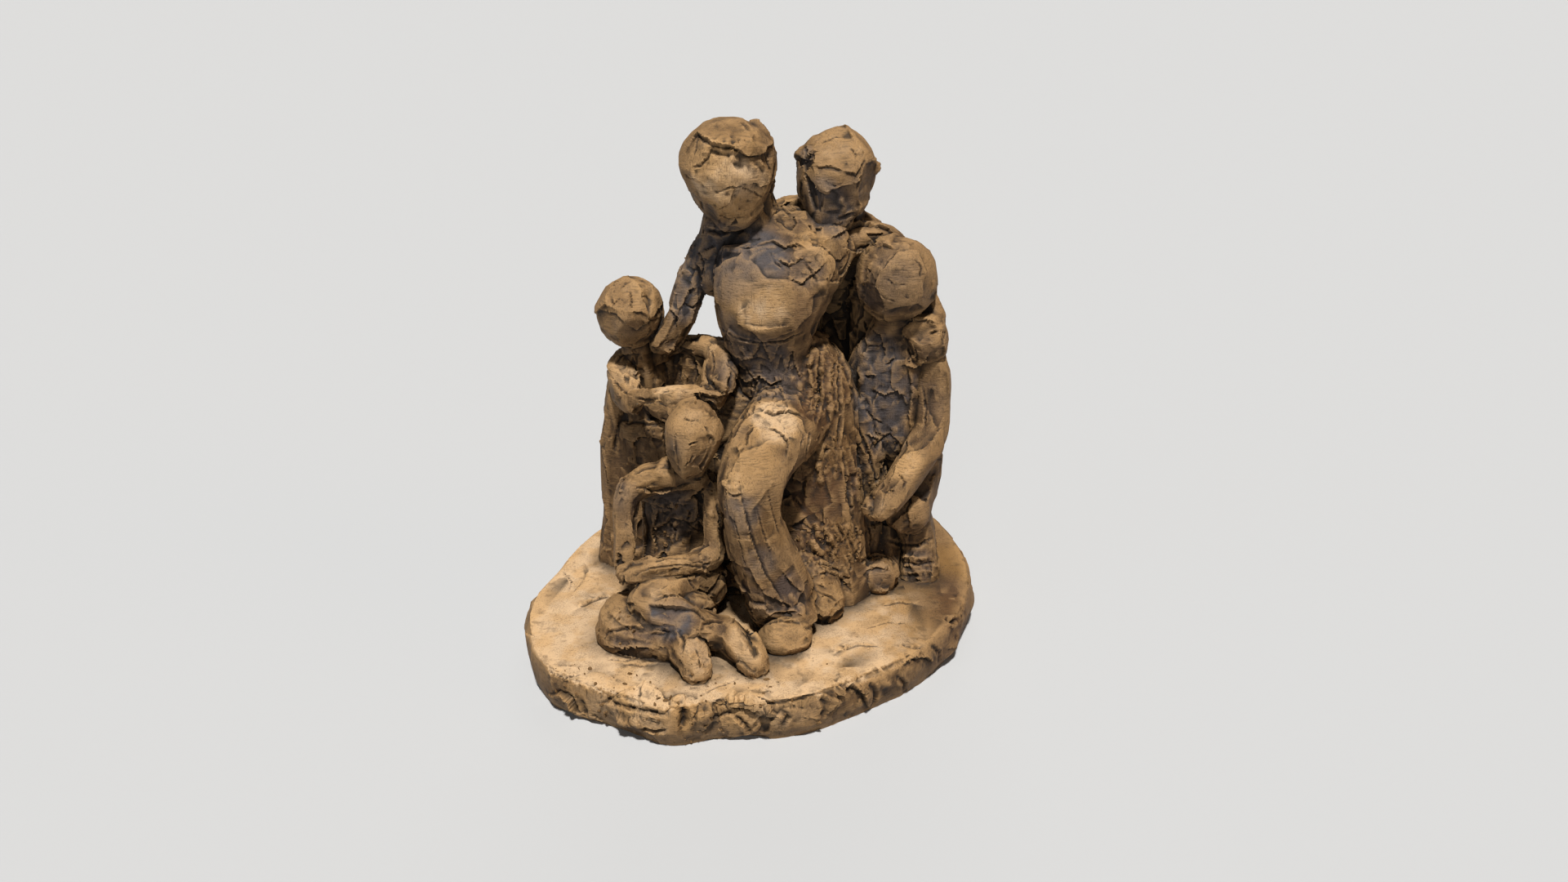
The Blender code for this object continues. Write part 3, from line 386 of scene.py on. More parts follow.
# Two rows of short shallow strokes on the slab's top
SCRATCH_ROWS = (
    (((926, 846), (967, 834)), 7, 7.0), (((1151, 696), (1166, 690)), 3, 6.0),
)

# Flat facets pressed with a tool: share of flattening, then the corners in the picture
FACETS = (
    (0.85, ((908, 348), (966, 346), (972, 398), (912, 402))),
    (0.5, ((1010, 176), (1030, 170), (1046, 178), (1044, 200), (1018, 196))),
    (0.85, ((797, 742), (852, 748), (868, 772), (850, 780), (798, 762))),
    (0.7, ((862, 418), (890, 420), (892, 482), (866, 474))),
    (0.6, ((1064, 606), (1082, 606), (1080, 636), (1066, 630))),
    (0.6, ((1066, 700), (1092, 700), (1092, 720), (1066, 722))),
    (0.6, ((844, 786), (870, 784), (866, 820), (850, 826))),
    (0.6, ((902, 762), (920, 764), (930, 800), (916, 812), (904, 790))),
)

# How worked the surface is: centre in the picture, reach in mm, then flakes, tears and crumbs from 0 to 1
WORKED = (
    (905, 210, 26, 0.25, 0.05, 0), (1025, 215, 26, 0.15, 0, 0), (1100, 340, 26, 0.25, 0.05, 0),
    (775, 370, 24, 0.15, 0, 0), (850, 540, 22, 0.15, 0, 0), (990, 320, 20, 0.9, 0.3, 0),
    (930, 450, 28, 0.9, 0.4, 0), (925, 345, 30, 0, 0, 0), (1085, 470, 30, 0.5, 0.3, 0),
    (945, 205, 12, 0.8, 0.5, 0), (930, 620, 26, 0.1, 0, 0), (820, 755, 24, 0.15, 0, 0),
    (1080, 540, 16, 0.9, 0.6, 0.2), (1010, 470, 24, 0.8, 1, 0.6), (1010, 560, 22, 0.7, 1, 0.7),
    (1015, 670, 26, 0.8, 1, 1), (1060, 600, 20, 0.8, 1, 0.5), (1060, 670, 18, 0.6, 0.8, 0.9),
    (820, 450, 18, 0.7, 0.8, 0.3), (820, 640, 22, 1, 0.7, 0.4), (880, 620, 14, 0.7, 0.7, 0.2),
    (840, 690, 18, 0.7, 0.4, 0.1), (900, 735, 14, 0.5, 0.5, 1), (870, 500, 14, 0.6, 0.5, 0.2),
    (790, 540, 20, 0.8, 0.5, 0.1), (735, 560, 20, 0.8, 0.4, 0), (950, 520, 20, 0.6, 0.3, 0),
    (895, 600, 14, 0.8, 0.5, 0.1), (1120, 690, 20, 0.7, 0.6, 0.2), (1075, 705, 14, 0.4, 0.2, 0.2),
    (760, 860, 30, 1, 0.9, 0.3), (850, 875, 30, 1, 1, 0.4), (930, 870, 26, 1, 0.9, 0.3),
    (690, 840, 20, 1, 0.8, 0.2), (1030, 855, 22, 0.8, 0.6, 0.1), (1120, 810, 22, 0.8, 0.7, 0.1),
    (1175, 750, 22, 0.8, 0.8, 0.1), (855, 320, 18, 0.7, 0.5, 0), (1040, 290, 18, 0.8, 0.5, 0),
    (960, 260, 10, 0.7, 0.9, 0.1), (1010, 730, 18, 0.6, 0.5, 0.6), (860, 800, 18, 0.7, 0.5, 0.2),
    (760, 770, 20, 0.6, 0.3, 0.1), (1135, 420, 18, 0.5, 0.3, 0), (1060, 340, 14, 0.7, 0.8, 0.2),
)
# Colour of the clay, with painted light and shade: centre in the picture, reach in mm, then grey-violet
# with painted shade, dry ochre, deep brown with painted shade, and pale with painted highlight, from 0 to 1
# and above 1 where the colour is meant to cover
TONES = (
    (890, 320, 26, 1, 0, 0, 0), (925, 315, 22, 0.9, 0, 0, 0), (985, 330, 14, 0.3, 0, 0, 0.1),
    (925, 445, 26, 0.7, 0, 0, 0), (960, 470, 16, 0.6, 0, 0, 0), (890, 400, 12, 0.7, 0, 0, 0),
    (845, 335, 22, 1, 0, 0, 0), (835, 370, 16, 0.9, 0, 0, 0), (860, 290, 12, 0.8, 0, 0, 0),
    (850, 320, 16, 1, 0, 0, 0), (900, 320, 18, 1, 0, 0, 0), (820, 755, 10, 0.1, 0, 0.7, 0),
    (775, 785, 10, 0.1, 0, 0.6, 0), (1070, 440, 20, 0.85, 0, 0, 0), (1080, 490, 22, 0.85, 0, 0, 0),
    (1085, 535, 16, 0.85, 0, 0, 0), (825, 625, 22, 0.7, 0.1, 0, 0), (780, 640, 12, 0.4, 0.3, 0, 0),
    (905, 630, 14, 0.7, 0, 0, 0.1), (930, 690, 12, 0.5, 0, 0, 0.1), (940, 740, 10, 0.4, 0, 0, 0.3),
    (1005, 240, 14, 0.8, 0, 0, 0), (1020, 262, 16, 0.7, 0, 0, 0), (1045, 235, 10, 0.3, 0, 0.1, 0),
    (985, 190, 7, 0.9, 0, 0, 0), (830, 545, 8, 0.6, 0, 0, 0.1), (735, 560, 24, 0.5, 0, 0, 0),
    (735, 640, 20, 0.6, 0, 0, 0), (1072, 618, 8, 0.4, 0, 0, 0.5), (935, 372, 18, 0, 0.1, 0, 1.5),
    (925, 385, 12, 0, 0, 0, 1.5), (990, 380, 12, 0.1, 0, 1, 0), (1000, 300, 14, 0, 0.5, 0, 0.6),
    (1010, 470, 24, 0, 0.2, 0.8, 0), (1010, 560, 30, 0, 0.5, 0.5, 0), (1030, 640, 30, 0, 0.5, 0.5, 0),
    (960, 250, 8, 0, 0.9, 0.2, 0.3), (950, 515, 18, 0, 0.5, 0, 1.4), (925, 560, 16, 0, 0.5, 0.1, 0.3),
    (905, 590, 12, 0, 0, 0, 1.2), (955, 640, 16, 0, 0.4, 0.3, 0), (985, 700, 12, 0, 0.4, 0.3, 0.1),
    (820, 450, 16, 0, 0.5, 0.5, 0), (1170, 690, 30, 0, 0.9, 0.3, 0), (1180, 760, 30, 0, 0.1, 0.9, 0),
    (1140, 830, 22, 0, 0.1, 0.6, 0), (840, 880, 10, 0, 0.9, 0.4, 0.2), (785, 475, 16, 0, 0.2, 0, 1.6),
    (820, 482, 14, 0, 0.1, 0, 1.5), (755, 455, 12, 0, 0.1, 0, 0.7), (870, 422, 12, 0, 0.2, 0, 0.8),
    (845, 484, 10, 0, 0, 0, 0.7), (785, 365, 16, 0, 0.3, 0.1, 0.45), (755, 370, 12, 0, 0.2, 0.1, 0.35),
    (765, 400, 10, 0.4, 0.1, 0, 0), (1115, 470, 8, 0.6, 0, 0.1, 0), (1140, 490, 14, 0.2, 0, 0.2, 0.1),
    (1148, 560, 14, 0, 0.1, 0.6, 0), (1105, 565, 14, 0, 0.2, 0, 1.2), (1135, 405, 12, 0, 0.1, 0.2, 0.5),
    (1140, 620, 16, 0.2, 0.1, 0.5, 0), (1120, 690, 16, 0.3, 0.1, 0.3, 0),
    (1075, 705, 12, 0.3, 0.1, 0.2, 0.1), (1100, 320, 16, 0.1, 0.1, 0, 0.2),
    (1080, 370, 14, 0.4, 0.1, 0.1, 0), (1125, 365, 12, 0.2, 0, 0.3, 0),
    (900, 165, 18, 0, 0.4, 0.1, 0.25), (1030, 180, 16, 0, 0.3, 0.1, 0.6),
    (880, 215, 22, 0, 0.5, 0, 1.8), (905, 262, 14, 0, 0.3, 0, 0.7), (855, 200, 12, 0.1, 0.1, 0, 0.5),
    (925, 225, 12, 0, 0.4, 0, 1.1), (1060, 285, 12, 0.1, 0.1, 0, 0.5), (1080, 260, 12, 0.2, 0.1, 0, 0),
    (850, 530, 18, 0, 0, 0, 0.6), (790, 590, 14, 0, 0.3, 0.1, 0.2), (770, 630, 10, 0.2, 0.2, 0.2, 0),
    (820, 690, 16, 0, 0.1, 0, 0.5), (815, 728, 12, 0, 0.1, 0, 0.8), (770, 765, 14, 0, 0.1, 0, 0.5),
    (860, 800, 16, 0.1, 0, 0, 0.9), (918, 785, 16, 0, 0, 0, 1), (970, 775, 14, 0, 0.2, 0, 0.4),
    (1095, 345, 20, 0.25, 0, 0, 0.15), (1060, 360, 10, 0.5, 0, 0.1, 0), (1000, 500, 18, 0, 0, 1, 0),
    (1015, 600, 18, 0, 0.1, 0.9, 0), (1000, 660, 16, 0, 0.1, 0.9, 0), (1055, 560, 14, 0.2, 0, 0.8, 0),
    (1010, 730, 14, 0, 0.4, 0.2, 0.2), (720, 870, 20, 0, 0.2, 0, 0.6), (780, 850, 18, 0, 0.2, 0, 1),
    (740, 875, 16, 0, 0, 0, 0.9), (800, 880, 14, 0, 0, 0, 0.8), (900, 865, 20, 0, 0.1, 0, 1),
    (960, 872, 14, 0, 0, 0, 0.8), (980, 860, 16, 0, 0.1, 0.1, 0.5), (1060, 850, 18, 0, 0.1, 0.3, 0.2),
    (760, 885, 10, 0.3, 0.1, 0, 0.3), (870, 890, 12, 0.2, 0.2, 0.1, 0.3),
    (1130, 740, 16, 0, 0.1, 0.4, 0.4), (1095, 340, 16, 0.5, 0, 0, 0), (820, 755, 16, 1, 0, 0.4, 0),
    (772, 782, 14, 0.5, 0, 0.5, 0), (765, 610, 12, 0.6, 0, 0.3, 0), (1135, 425, 10, 0.2, 0, 0.4, 0),
    (775, 385, 14, 0.1, 0.2, 0.3, 0), (900, 335, 20, 0.6, 0, 0, 0), (970, 725, 16, 0.5, 0, 0.6, 0),
    (925, 735, 12, 0.4, 0, 0.5, 0), (995, 615, 20, 0, 0, 1, 0), (1040, 600, 20, 0.1, 0, 0.9, 0),
    (1160, 800, 20, 0.1, 0, 0.6, 0), (1170, 720, 16, 0.1, 0, 0.6, 0),
)


class Figure:
    """A person in the group. Points and radii are percent of the figure's own height above the slab."""

    def __init__(self, stand, height):
        self.stand = Vector((stand[0] * SLAB_RADIUS, stand[1] * SLAB_RADIUS, SLAB_THICKNESS))
        self.percent = height / 100

    def at(self, point):
        return self.stand + Vector(point) * self.percent


SLAB_TOP = Figure((0, 0), SLAB_RADIUS)
MOTHER = Figure((0.115, 0.0), MOTHER_HEIGHT)
MAN = Figure((0.423, 0.346), MAN_HEIGHT)
OLDER_CHILD = Figure((0.731, 0.062), OLDER_CHILD_HEIGHT)
LEANING_CHILD = Figure((-0.554, 0.115), LEANING_CHILD_HEIGHT)
SEATED_CHILD = Figure((-0.308, -0.346), SEATED_CHILD_HEIGHT)


def viewpoint():
    """The camera, at the height and angle of the picture."""
    data = bpy.data.cameras.new("viewpoint")
    data.sensor_width = 36
    data.lens = data.sensor_width * FOCAL_PIXELS / PICTURE_WIDTH
    camera = bpy.data.objects.new("viewpoint", data)
    camera.location = CAMERA_PLACE
    camera.rotation_euler = (math.pi / 2 - LOOK_DOWN, 0, 0)
    bpy.context.scene.collection.objects.link(camera)
    bpy.context.scene.camera = camera


def sight(x, y):
    """The direction from the viewpoint through a point of the picture."""
    forward = Vector((0, math.cos(LOOK_DOWN), -math.sin(LOOK_DOWN)))
    upward = Vector((0, math.sin(LOOK_DOWN), math.cos(LOOK_DOWN)))
    sideways = Vector((1, 0, 0))
    aim = forward + sideways * ((x - PICTURE_WIDTH / 2) / FOCAL_PIXELS)
    return (aim + upward * ((PICTURE_HEIGHT / 2 - y) / FOCAL_PIXELS)).normalized()


def pictured(places):
    """Where points of space fall in the picture."""
    gaze = places - np.array(CAMERA_PLACE)
    depth = gaze[:, 1] * math.cos(LOOK_DOWN) - gaze[:, 2] * math.sin(LOOK_DOWN)
    rise = gaze[:, 1] * math.sin(LOOK_DOWN) + gaze[:, 2] * math.cos(LOOK_DOWN)
    x = PICTURE_WIDTH / 2 + FOCAL_PIXELS * gaze[:, 0] / depth
    y = PICTURE_HEIGHT / 2 - FOCAL_PIXELS * rise / depth
    return np.stack((x, y), axis=1)


def new_piece(name, mesh):
    piece = bpy.data.objects.new(name, mesh)
    bpy.context.scene.collection.objects.link(piece)
    return piece


def settled(piece):
    """Turns a piece's modifiers into a plain mesh."""
    graph = bpy.context.evaluated_depsgraph_get()
    mesh = bpy.data.meshes.new_from_object(piece.evaluated_get(graph))
    piece.modifiers.clear()
    piece.data = mesh


def smooth_step(value):
    value = np.clip(value, 0, 1)
    return value * value * (3 - 2 * value)


class Skin:
    """The clay's surface as a dense net of points that are lifted and pressed along their normals."""

    def __init__(self, piece):
        self.piece = piece
        mesh = piece.data
        count = len(mesh.vertices)
        self.places = np.empty(count * 3)
        mesh.vertices.foreach_get("co", self.places)
        self.places = self.places.reshape(-1, 3)
        self.edges = np.empty(len(mesh.edges) * 2, dtype=np.int64)
        mesh.edges.foreach_get("vertices", self.edges)
        self.edges = self.edges.reshape(-1, 2)
        self.links = np.bincount(self.edges.ravel(), minlength=count)
        self.lift = np.zeros(count)
        self.chance = np.random.default_rng(SEED)

    def averaged(self, values):
        """Each point's neighbours' mean."""
        a, b = self.edges[:, 0], self.edges[:, 1]
        count = len(self.links)
        total = np.bincount(a, values[b], count) + np.bincount(b, values[a], count)
        return total / self.links

    def eased(self, values, rounds, share=0.6):
        values = values.copy()
        for _ in range(rounds):
            for column in range(values.shape[1]):
                values[:, column] += share * (self.averaged(values[:, column]) - values[:, column])
        return values

    def write(self, places):
        self.piece.data.vertices.foreach_set("co", places.ravel())
        self.piece.data.update()

    def measure(self):
        """Keeps the present shape as the ground that marks are cast on."""
        self.write(self.places)
        mesh = self.piece.data
        self.normals = np.empty(len(mesh.vertices) * 3)
        mesh.vertex_normals.foreach_get("vector", self.normals)
        self.normals = self.normals.reshape(-1, 3)
        self.shots = pictured(self.places)
        graph = bpy.context.evaluated_depsgraph_get()
        graph.update()
        self.tree = BVHTree.FromObject(self.piece, graph)

    def seen(self, x, y):
        place, normal, _, _ = self.tree.ray_cast(CAMERA_PLACE, sight(x, y))
        return None if place is None else (np.array(place), np.array(normal))

    def trail(self, points, wander=0.0):
        """A line drawn through points of the picture, laid on the clay."""
        hits = []
        for (x0, y0), (x1, y1) in zip(points, points[1:]):
            steps = max(2, int(math.hypot(x1 - x0, y1 - y0) / 2))
            for k in range(steps):
                x = x0 + (x1 - x0) * k / steps + self.chance.normal() * wander
                y = y0 + (y1 - y0) * k / steps + self.chance.normal() * wander
                hit = self.seen(x, y)
                if hit and (not hits or np.linalg.norm(hit[0] - hits[-1][0]) < 8 * MM):
                    hits.append(hit)
        return hits

    def beside(self, hits, reach):
        """The points near a drawn line: which, how far to its right, and how far along it from 0 to 1."""
        line = np.array([hit[0] for hit in hits])
        facing = np.array([hit[1] for hit in hits])
        low, high = line.min(axis=0) - reach, line.max(axis=0) + reach
        near = np.flatnonzero(np.all((self.places > low) & (self.places < high), axis=1))
        if not len(near):
            return near, near, near, near
        ahead = np.gradient(line, axis=0)
        if len(line) > 4:
            for _ in range(2):
                ahead = (np.roll(ahead, 1, axis=0) + ahead + np.roll(ahead, -1, axis=0)) / 3
        right = np.cross(ahead, facing)
        right /= np.linalg.norm(right, axis=1)[:, None] + 1e-12
        offset = self.places[near][:, None] - line[None]
        nearest = np.argmin(np.einsum("ijk,ijk->ij", offset, offset), axis=1)
        offset = offset[np.arange(len(near)), nearest]
        distance = np.linalg.norm(offset, axis=1)
        side = np.sign(np.einsum("ij,ij->i", offset, right[nearest])) * distance
        turned = np.einsum("ij,ij->i", self.normals[near], facing[nearest])
        keep = (distance < reach) & (turned > 0.1)
        return near[keep], side[keep], nearest[keep] / max(1, len(line) - 1), nearest[keep]

    def mark(self, kind, height, width, points):
        """Draws a ridge, a groove or a ledge. Sizes are in mm."""
        hits = self.trail(points, wander=0.35)
        if len(hits) < 3:
            return
        height, width = height * MARK_STRENGTH * MM, width * MM
        if kind == "groove":
            width *= GROOVE_NARROW
        near, side, along, sample = self.beside(hits, 3.2 * width)
        if not len(near):
            return
        knots = np.arange(0, len(hits) + 3, 3)
        ragged = 1 + 0.35 * np.interp(np.arange(len(hits)), knots, self.chance.normal(size=len(knots)))
        strength = height * np.minimum(1, 4 * np.minimum(along, 1 - along) + 0.25) * ragged[sample]
        if kind == "ridge":
            self.lift[near] += strength * np.exp(-(side / width) ** 2)
        elif kind == "groove":
            lips = 0.25 * np.exp(-((np.abs(side) - 1.8 * width) / (0.8 * width)) ** 2)
            self.lift[near] += strength * (lips - np.exp(-(side / width) ** 2))
        else:
            raised = np.exp(-np.abs(side) / width) * smooth_step(0.5 - side / LEDGE_STEEP)
            under = 0.5 * np.exp(-(side / (0.3 * width)) ** 2) * smooth_step(0.5 + side / LEDGE_STEEP)
            self.lift[near] += strength * (1.25 * raised - under)

    def pit(self, x, y, width, depth):
        hit = self.seen(x, y)
        if hit:
            distance = np.linalg.norm(self.places - hit[0], axis=1) / (width * MM)
            near = distance < 3
            self.lift[near] -= depth * MM * np.exp(-distance[near] ** 2)

    def spatula(self, count, share, limit, step):
        """Presses patches of the surface towards planes of their own; neighbours overlap by small steps.

        The limit and the step are in mm."""
        chosen = self.chance.choice(len(self.places), count, replace=False)
        leaned = self.places + self.normals * PATCH_LEAN
        tree = KDTree(count)
        for number, point in enumerate(chosen):
            tree.insert(leaned[point], number)
        tree.balance()
        patch = np.array([tree.find(point)[1] for point in leaned])
        size = np.maximum(np.bincount(patch, minlength=count), 1)[:, None]
        centre = np.stack([np.bincount(patch, self.places[:, k], count) for k in range(3)], axis=1) / size
        facing = np.stack([np.bincount(patch, self.normals[:, k], count) for k in range(3)], axis=1)
        facing /= np.linalg.norm(facing, axis=1)[:, None] + 1e-9
        centre += facing * (self.chance.normal(size=count) * step * MM)[:, None]
        lean = facing[patch]
        above = np.einsum("ij,ij->i", self.places - centre[patch], lean)
        along = np.maximum(0.5, np.einsum("ij,ij->i", self.normals, lean))
        press = -share * limit * MM * np.tanh(above / (limit * MM)) / along
        press *= 1 - 0.96 * (self.places[:, 2] < SLAB_THICKNESS + 5 * MM) * (self.normals[:, 2] > 0.8)
        self.places = self.places + self.normals * press[:, None]

    def facet(self, share, corners):
        """Presses the part of the surface inside the corners towards one plane."""
        middle = tuple(np.mean(corners, axis=0))
        hits = [hit for hit in (self.seen(x, y) for x, y in (*corners, middle, middle)) if hit]
        if len(hits) < 4:
            return
        spots = np.array([hit[0] for hit in hits])
        centre = spots.mean(axis=0)
        normal = np.linalg.svd(spots - centre)[2][2]
        normal *= np.sign(normal @ np.mean([hit[1] for hit in hits], axis=0))
        corners = np.array(corners, dtype=float)
        inside = np.full(len(self.places), np.inf)
        heading = np.roll(corners, -1, axis=0) - corners
        spin = np.sign(np.cross(heading[0], heading[1]))
        for corner, ahead in zip(corners, heading):
            offset = self.shots - corner
            depth = spin * (ahead[0] * offset[:, 1] - ahead[1] * offset[:, 0]) / np.hypot(*ahead)
            inside = np.minimum(inside, depth)
        above = (self.places - centre) @ normal
        pull = np.clip(above, -0.7 * MM, 3.5 * MM)
        near = (inside > -4) & (np.abs(above) < 9 * MM) & (self.normals @ normal > 0.35)
        near &= np.linalg.norm(self.places - centre, axis=1) < 60 * MM
        amount = share * smooth_step((inside[near] + 4) / 6)
        self.lift[near] -= amount * pull[near] / np.maximum(0.6, self.normals[near] @ normal)

    def dabbed(self, dabs, columns):
        """Soft spots of a value, painted at points of the picture: the strongest value wins at each point."""
        values = np.zeros((len(self.places), columns))
        weight = np.full(len(self.places), 1e-6)
        for x, y, reach, *amounts in dabs:
            hit = self.seen(x, y)
            if hit is None:
                continue
            distance = np.linalg.norm(self.places - hit[0], axis=1) / (reach * MM)
            near = distance < 1
            pull = (1 - distance[near] ** 2) ** 2
            values[near] += pull[:, None] * np.array(amounts)
            weight[near] += pull
        return values / np.maximum(weight, 0.35)[:, None]

    def keep(self, name, values):
        attribute = self.piece.data.attributes.new(name, "FLOAT", "POINT")
        attribute.data.foreach_set("value", values.astype(np.float32))


def facing(azimuth, elevation):
    """A direction: azimuth 0 faces the front and 90 the right, elevation is upwards, in degrees."""
    a, e = math.radians(azimuth), math.radians(elevation)
    return Vector((math.sin(a) * math.cos(e), -math.cos(a) * math.cos(e), math.sin(e)))


def passed_through(p, q, r, s, t):
    """The smooth curve from q to r, with p before and s after it, at the share t of the way."""
    slope = (r - p) * t
    bend = (2 * p - 5 * q + 4 * r - s) * t * t
    twist = (3 * q - p - 3 * r + s) * t ** 3
    return 0.5 * (2 * q + slope + bend + twist)


def blended(rows, steps):
    """Rows of numbers with smooth in-between rows added, passing through every given row."""
    result = []
    for i in range(len(rows) - 1):
        a, b = rows[max(i - 1, 0)], rows[i]
        c, d = rows[i + 1], rows[min(i + 2, len(rows) - 1)]
        for k in range(steps):
            result.append([passed_through(p, q, r, s, k / steps) for p, q, r, s in zip(a, b, c, d)])
    result.append(list(rows[-1]))
    return result


def bridge_rings(clay, rings):
    """Skins a stack of rings of points and closes both ends."""
    made = [[clay.verts.new(point) for point in ring] for ring in rings]
    count = len(made[0])
    for lower, upper in zip(made, made[1:]):
        for i in range(count):
            j = (i + 1) % count
            clay.faces.new((lower[i], lower[j], upper[j], upper[i]))
    clay.faces.new(list(reversed(made[0])))
    clay.faces.new(made[-1])


def loft(clay, figure, sections, across=(1, 0, 0), square=2.0, sides=ROUND_SIDES):
    """A trunk or flattened arm through sections of (x, y, z, half width, half depth), in percent.

    The width is measured along `across`; `square` above 2 gives planed faces with softened corners."""
    rows = blended(sections, 3)
    centres = [figure.at(row[:3]) for row in rows]
    halves = [(row[3] * figure.percent, row[4] * figure.percent) for row in rows]
    for end, inner, place in ((0, 1, 0), (-1, -2, len(centres))):
        out = (centres[end] - centres[inner]).normalized() * min(halves[end])
        width, depth = halves[end]
        caps = [(centres[end] + out * 0.45, (width * 0.85, depth * 0.85)),
                (centres[end] + out * 0.80, (width * 0.50, depth * 0.50))]
        if place == 0:
            caps.reverse()
        centres[place:place] = [cap[0] for cap in caps]
        halves[place:place] = [cap[1] for cap in caps]
    rings = []
    for i, (centre, (width, depth)) in enumerate(zip(centres, halves)):
        along = (centres[min(i + 1, len(centres) - 1)] - centres[max(i - 1, 0)]).normalized()
        wide = (Vector(across) - along * along.dot(Vector(across))).normalized()
        deep = along.cross(wide)
        ring = []
        for k in range(sides):
            angle = 2 * math.pi * (k + 0.5) / sides
            c, s = math.cos(angle), math.sin(angle)
            reach = (abs(c) ** square + abs(s) ** square) ** (-1 / square)
            ring.append(centre + wide * (c * reach * width) + deep * (s * reach * depth))
        rings.append(ring)
    bridge_rings(clay, rings)


def limb(clay, figure, points):
    """A rolled limb along points of (x, y, z, radius), in percent, as a tapering curve."""
    curve = bpy.data.curves.new("limb", "CURVE")
    curve.dimensions = "3D"
    curve.bevel_depth = 1.0
    curve.bevel_resolution = 2
    curve.resolution_u = 4
    curve.use_fill_caps = True
    spline = curve.splines.new("BEZIER")
    spline.bezier_points.add(len(points) - 1)
    for knot, (x, y, z, radius) in zip(spline.bezier_points, points):
        knot.co = figure.at((x, y, z))
        knot.radius = radius * figure.percent
        knot.handle_left_type = knot.handle_right_type = "AUTO"
    roll = bpy.data.objects.new("limb", curve)
    bpy.context.scene.collection.objects.link(roll)
    mesh = bpy.data.meshes.new_from_object(roll.evaluated_get(bpy.context.evaluated_depsgraph_get()))
    clay.from_mesh(mesh)
    bpy.data.objects.remove(roll)
    bpy.data.meshes.remove(mesh)
    for x, y, z, radius in (points[0], points[-1]):
        lump(clay, figure, (x, y, z), (radius * 0.97,) * 3)


def lump(clay, figure, centre, half, turn=(0, 0, 0), taper=0.0, cuts=()):
    """A pressed ball with half sizes in percent, narrowed downwards by `taper` and planed by `cuts`.

    A cut is (azimuth, elevation, share): the knife leaves that share of the ball's reach that way."""
    ball = bmesh.new()
    bmesh.ops.create_icosphere(ball, subdivisions=3, radius=1.0)
    for vert in ball.verts:
        narrow = 1 - taper * max(0.0, 0.25 - vert.co.z)
        vert.co.x *= narrow
        vert.co.y *= narrow
    turned = Euler([math.radians(angle) for angle in turn]).to_matrix()
    size = Matrix.Diagonal(Vector(half) * figure.percent)
    bmesh.ops.transform(ball, matrix=(turned @ size).to_4x4(), verts=ball.verts)
    for azimuth, elevation, share in cuts:
        normal = facing(azimuth, elevation)
        reach = max(vert.co.dot(normal) for vert in ball.verts)
        everything = ball.verts[:] + ball.edges[:] + ball.faces[:]
        bmesh.ops.bisect_plane(ball, geom=everything, dist=1e-7, plane_co=normal * reach * share,
                               plane_no=normal, clear_outer=True)
        rim = [edge for edge in ball.edges if edge.is_boundary]
        bmesh.ops.contextual_create(ball, geom=rim)
    bmesh.ops.translate(ball, vec=figure.at(centre), verts=ball.verts)
    add_shape(clay, ball)


def block(clay, figure, centre, half, turn=(0, 0, 0), soft=0.3):
    """A cut block of clay with knocked-off edges, half sizes in percent."""
    cube = bmesh.new()
    bmesh.ops.create_cube(cube, size=2.0)
    bmesh.ops.scale(cube, vec=Vector(half) * figure.percent, verts=cube.verts)
    bmesh.ops.bevel(cube, geom=cube.edges[:], offset=soft * min(half) * figure.percent, segments=2,
                    profile=0.5, affect="EDGES")
    turned = Euler([math.radians(angle) for angle in turn]).to_matrix().to_4x4()
    bmesh.ops.transform(cube, matrix=turned, verts=cube.verts)
    bmesh.ops.translate(cube, vec=figure.at(centre), verts=cube.verts)
    add_shape(clay, cube)


def add_shape(clay, shape):
    mesh = bpy.data.meshes.new("shape")
    shape.to_mesh(mesh)
    shape.free()
    clay.from_mesh(mesh)
    bpy.data.meshes.remove(mesh)


def slab(clay):
    """The rough oval slab."""
    last_direction, last_reach = SLAB_OUTLINE[-1]
    rows = [(last_direction - 360, last_reach), *SLAB_OUTLINE]
    rows += [(direction + 360, reach) for direction, reach in SLAB_OUTLINE[:2]]
    outline = [row for row in blended(rows, 3) if -180 <= row[0] < 180]
    rings = []
    for height, spread in SLAB_SIDE:
        ring = []
        for direction, reach in outline:
            turn = math.radians(direction)
            outwards = Vector((math.cos(turn), math.sin(turn), 0)) * (SLAB_RADIUS * reach * spread)
            ring.append(outwards + Vector((0, 0, height * SLAB_THICKNESS)))
        rings.append(ring)
    bridge_rings(clay, rings)
    for direction, reach, level, along, outward, upward, twist in SLAB_LUMPS:
        turn = math.radians(direction)
        centre = (reach * math.cos(turn), reach * math.sin(turn), level)
        lump(clay, SLAB_TOP, centre, (along, outward, upward), turn=(twist, twist, direction + 90))


